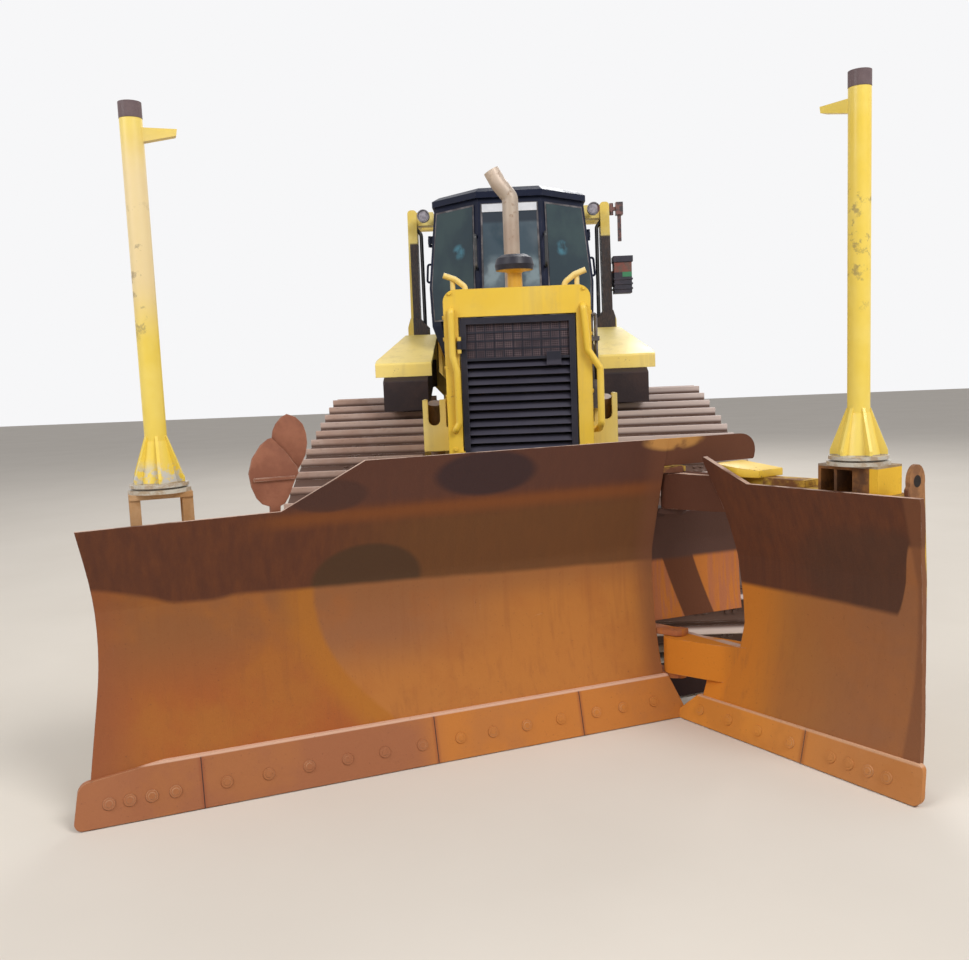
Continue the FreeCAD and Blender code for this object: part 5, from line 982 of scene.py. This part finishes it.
# The upper tongue is painted in the dark shade tone and the lower one in bright orange, as shade above and lit rust
# below.
tongue = z.under(0.45, 0.6).colours((0.098, 0.034, 0.018), (0.66, 0.225, 0.022))
tone = coats(run.over(0.4, 1.05).colours((0.4, 0.157, 0.034), (0.285, 0.117, 0.049)),
             (wing_steel.mottle.over(0.42, 0.66) * 0.5, (0.36, 0.131, 0.037)),
             (run.under(0.34, 0.6) * 0.85, (0.57, 0.195, 0.022)),
             (streaks.over(0.5, 0.72) * 0.25, (0.25, 0.096, 0.034)),
             (shadow.over(-0.014, 0.016), shade_and_stains), (run.over(1.165, 1.185) * 0.7, (0.19, 0.074, 0.034)),
             (run.under(0.2, 0.27), tongue))
inner = skin.over(0.036, 0.04) * run.between(0.3, 1.2, 0.01) * z.over(0.45, 0.47)
inner = inner.either(wing_steel.backward.over(0.2, 0.5) * run.over(0.3, 0.32))
end_plate = run.over(1.16, 1.164) * z.over(1.14, 1.2) * skin.over(0.036, 0.04)
end_tone = wing_steel.noise(16, 4, 0.6).over(0.4, 0.6).colours((0.22, 0.1, 0.045), (0.34, 0.16, 0.065))
# Painted shade: the lifting ear's hole is not cut; a near-black disc is painted where it is.
hole_shade_disc = ((z - 1.262) ** 2.0 + (wing_steel.behind - 0.125) ** 2.0).under(0.0005, 0.0007) * run.over(1.15, 1.16)
wing_steel.rusted(coats(wing_steel.worn(tone), (inner, wing_steel.old_paint()), (end_plate, end_tone),
                        (hole_shade_disc, (0.02, 0.014, 0.012))))

wing_panel = HalfBlade(*wing_line)
wing_panel.rolled([(0.118, 0.126), (1.252, 0.15), (1.228, 0.3), (1.208, 0.435), (1.198, 0.56), (1.192, 0.7),
                   (1.192, 0.83), (1.21, 0.97), (1.23, 1.07), (1.243, 1.145), (1.248, 1.206), (0.406, 1.2),
                   (0.178, 1.315), (0.166, 1.306), (0.2, 1.18), (0.23, 1.08), (0.245, 0.97), (0.252, 0.85),
                   (0.264, 0.75), (0.284, 0.62), (0.298, 0.52), (0.286, 0.404), (0.12, 0.402), (0.12, 0.222)],
                  0.028)
for low, high in tongue_levels:
    wing_panel.block(arc(-0.048, 0.06, 0.08, 90, 271) + [(0.2, 0.062), (0.29, 0.12), (0.64, 0.15),
                                                          (0.64, 0.25), (0.2, 0.19), (0.042, 0.14)], low, high)
for section in ([(0.084, 0.172), (0.146, 0.385), (0.28, 0.385), (0.28, 0.172)],
                [(0.134, 1.0), (0.07, 1.19), (0.27, 1.19), (0.27, 1.0)]):
    wing_panel.beam(section, 0.47, 1.05)
for start in (0.48, 0.85, 1.03):
    wing_panel.beam([(0.11, 0.3), (0.165, 0.5), (0.174, 0.85), (0.13, 1.0), (0.255, 1.01),
                     (0.255, 0.38)], start, start + 0.02)
side = [(0.084, 0.175), (0.146, 0.385), (0.166, 0.5), (0.176, 0.85), (0.136, 1.0), (0.068, 1.205), (0.064, 1.23)]
side += arc(0.125, 1.262, -0.052, -15, 196, squash=-0.066 / 0.052)
side += [(0.178, 1.205), (0.198, 0.85), (0.196, 0.5), (0.19, 0.385), (0.14, 0.175)]
wing_panel.beam(side, 1.166, 1.184)
keep(wing_panel.mesh, "wing_panel", "wing", wing_steel.material, angle=32)
cover = HalfBlade(*wing_line)
cover.block([(0.19, 0.064), (0.33, 0.064), (0.43, 0.1), (0.43, 0.262), (0.19, 0.262)], 1.2225, 1.3,
            0.004, tilt=0.1)
cover_paint = yellow_paint("cover_paint", (0.78, 0.49, 0.02), (0.82, 0.54, 0.05), wear=1.6)
keep(cover.mesh, "wing_tongue_cover", "wing", cover_paint, angle=32)
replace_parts(bpy.data.objects["wing_panel"], "wing")

# Lock plates: two flame-cut lobes, one behind the other, that stand on the blade's top step and are
# tied by a bar, a gusset and a foot.

plate_rust = Finish("lock_plate_rust", Metallic=0.05)
patch = plate_rust.noise(7, 5, 0.62).over(0.38, 0.64)
tone = patch.colours((0.215, 0.07, 0.034), (0.3, 0.112, 0.06))
tone = (plate_rust.edges(0.006) * plate_rust.noise(9).over(0.4, 0.6)).colours(tone, (0.55, 0.36, 0.26))
plate_rust.feed(Base_Color=tone, Roughness=0.7 + patch * 0.1)
plate_rust.bumps(plate_rust.noise(60, 4) + patch * 0.4, 0.0016, 0.004)
front_lobe = [(0.887, 1.512), (0.94, 1.452), (0.986, 1.383), (0.99, 1.358), (0.977, 1.337), (0.942, 1.258),
              (0.925, 1.232), (0.906, 1.223), (0.9, 1.15), (0.858, 1.15), (0.864, 1.222), (0.83, 1.236),
              (0.809, 1.261), (0.79, 1.31), (0.782, 1.368), (0.8, 1.43), (0.838, 1.484), (0.87, 1.508)]
rear_lobe = [(0.891, 1.511), (0.896, 1.54), (0.91, 1.568), (0.935, 1.596), (0.96, 1.608), (0.995, 1.594),
             (1.024, 1.562), (1.036, 1.522), (1.038, 1.48), (1.028, 1.43), (1.007, 1.392), (0.989, 1.364)]
lobes = HalfBlade(*blade_line)
for outline, front in ((front_lobe, 0.084), (rear_lobe, 0.106)):
    lobes.prism(*([(run, height, behind) for run, height in outline] for behind in (front, front + 0.0195)))
bmesh.ops.recalc_face_normals(lobes.mesh, faces=lobes.mesh.faces)
bmesh.ops.bevel(lobes.mesh, geom=[e for e in lobes.mesh.edges if e.calc_face_angle(0) > 1.2], offset=0.003,
                segments=2, profile=0.5, affect="EDGES", material=-1)
lobes.beam(rectangle(0.074, 0.086, 1.334, 1.346), 0.802, 0.972)
lobes.beam([(0.1, 1.15), (0.1, 1.38), (0.15, 1.18), (0.15, 1.15)], 0.866, 0.886)
lobes.block(rectangle(0.82, 0.96, 0.084, 0.15), 1.149, 1.172, 0.003)
keep(lobes.mesh, "lock_lobes", "blade", plate_rust.material, angle=32)
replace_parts(bpy.data.objects["lock_lobes"], "lock_plates")

# Masts: yellow tubes with dark threaded heads that the receivers clamp on, on a rusty stand at
# the right and a painted box on the wing.

mast_paint = Finish("mast_paint", Coat_Weight=0.12)
fade = mast_paint.noise(2.4, 4, 0.6).over(0.38, 0.66)
smudge = mast_paint.z.between(1.95, 2.45, 0.06) * mast_paint.noise(14, 5, 0.7).over(0.55, 0.66)
bleached = mast_paint.z.between(2.05, 2.7, 0.15) * mast_paint.x.under(-1.0, -0.9)
head = mast_paint.z.over(2.804, 2.807)
thread = mast_paint.noise(24, 4).colours((0.105, 0.066, 0.074), (0.19, 0.135, 0.14))
foot = mast_paint.z.under(1.352, 1.356)
flange = mast_paint.noise(22, 4, 0.65).over(0.42, 0.6).colours((0.52, 0.48, 0.4), (0.4, 0.3, 0.2))
scuffs = mast_paint.z.under(1.38, 1.46) * mast_paint.noise(18, 4, 0.65).over(0.44, 0.56)
scuffs = scuffs * (1 - foot) * mast_paint.x.under(0.0, 0.1)
tone = coats(fade.colours((0.8, 0.57, 0.06), (0.84, 0.64, 0.13)), (bleached * 0.7, (0.8, 0.64, 0.42)),
             (smudge * 0.55, (0.12, 0.09, 0.08)), (head, thread), (foot, flange), (scuffs, (0.52, 0.5, 0.46)))
mast_paint.feed(Base_Color=tone, Roughness=0.42 + head * 0.25 + smudge * 0.2)
mast_paint.bumps(head * mast_paint.z.stripes(0.008) * 1.5 + mast_paint.noise(60, 3) * 0.3, 0.0012)
finish(mast_paint.material, "right_mast", "left_mast")
stand_rust = two_tone("stand_rust", (0.42, 0.22, 0.085), (0.5, 0.3, 0.15), (9, 5, 0.65, 0.4, 0.62), 0.7, 0.15,
                      Metallic=0.1)
stand_rust.bumps(stand_rust.noise(50, 4), 0.002, 0.004)
finish(stand_rust.material, "mast_stand")
box_paint = RustySteel("mast_box_paint", *wing_line)
scaly = box_paint.noise(10, 5, 0.65).over(0.38, 0.62)
kept = box_paint.noise(5, 5, 0.65).over(0.3, 0.42).colours((0.4, 0.19, 0.05), (0.8, 0.48, 0.04))
box_top = scaly.colours((0.36, 0.31, 0.25), (0.25, 0.17, 0.11))
box_paint.rusted(coats(scaly.colours((0.11, 0.052, 0.026), (0.28, 0.12, 0.038)),
                       (box_paint.run.over(1.005, 1.008), kept), (box_paint.z.over(1.302, 1.304) * 0.9, box_top)))
finish(box_paint.material, "left_mast_box")
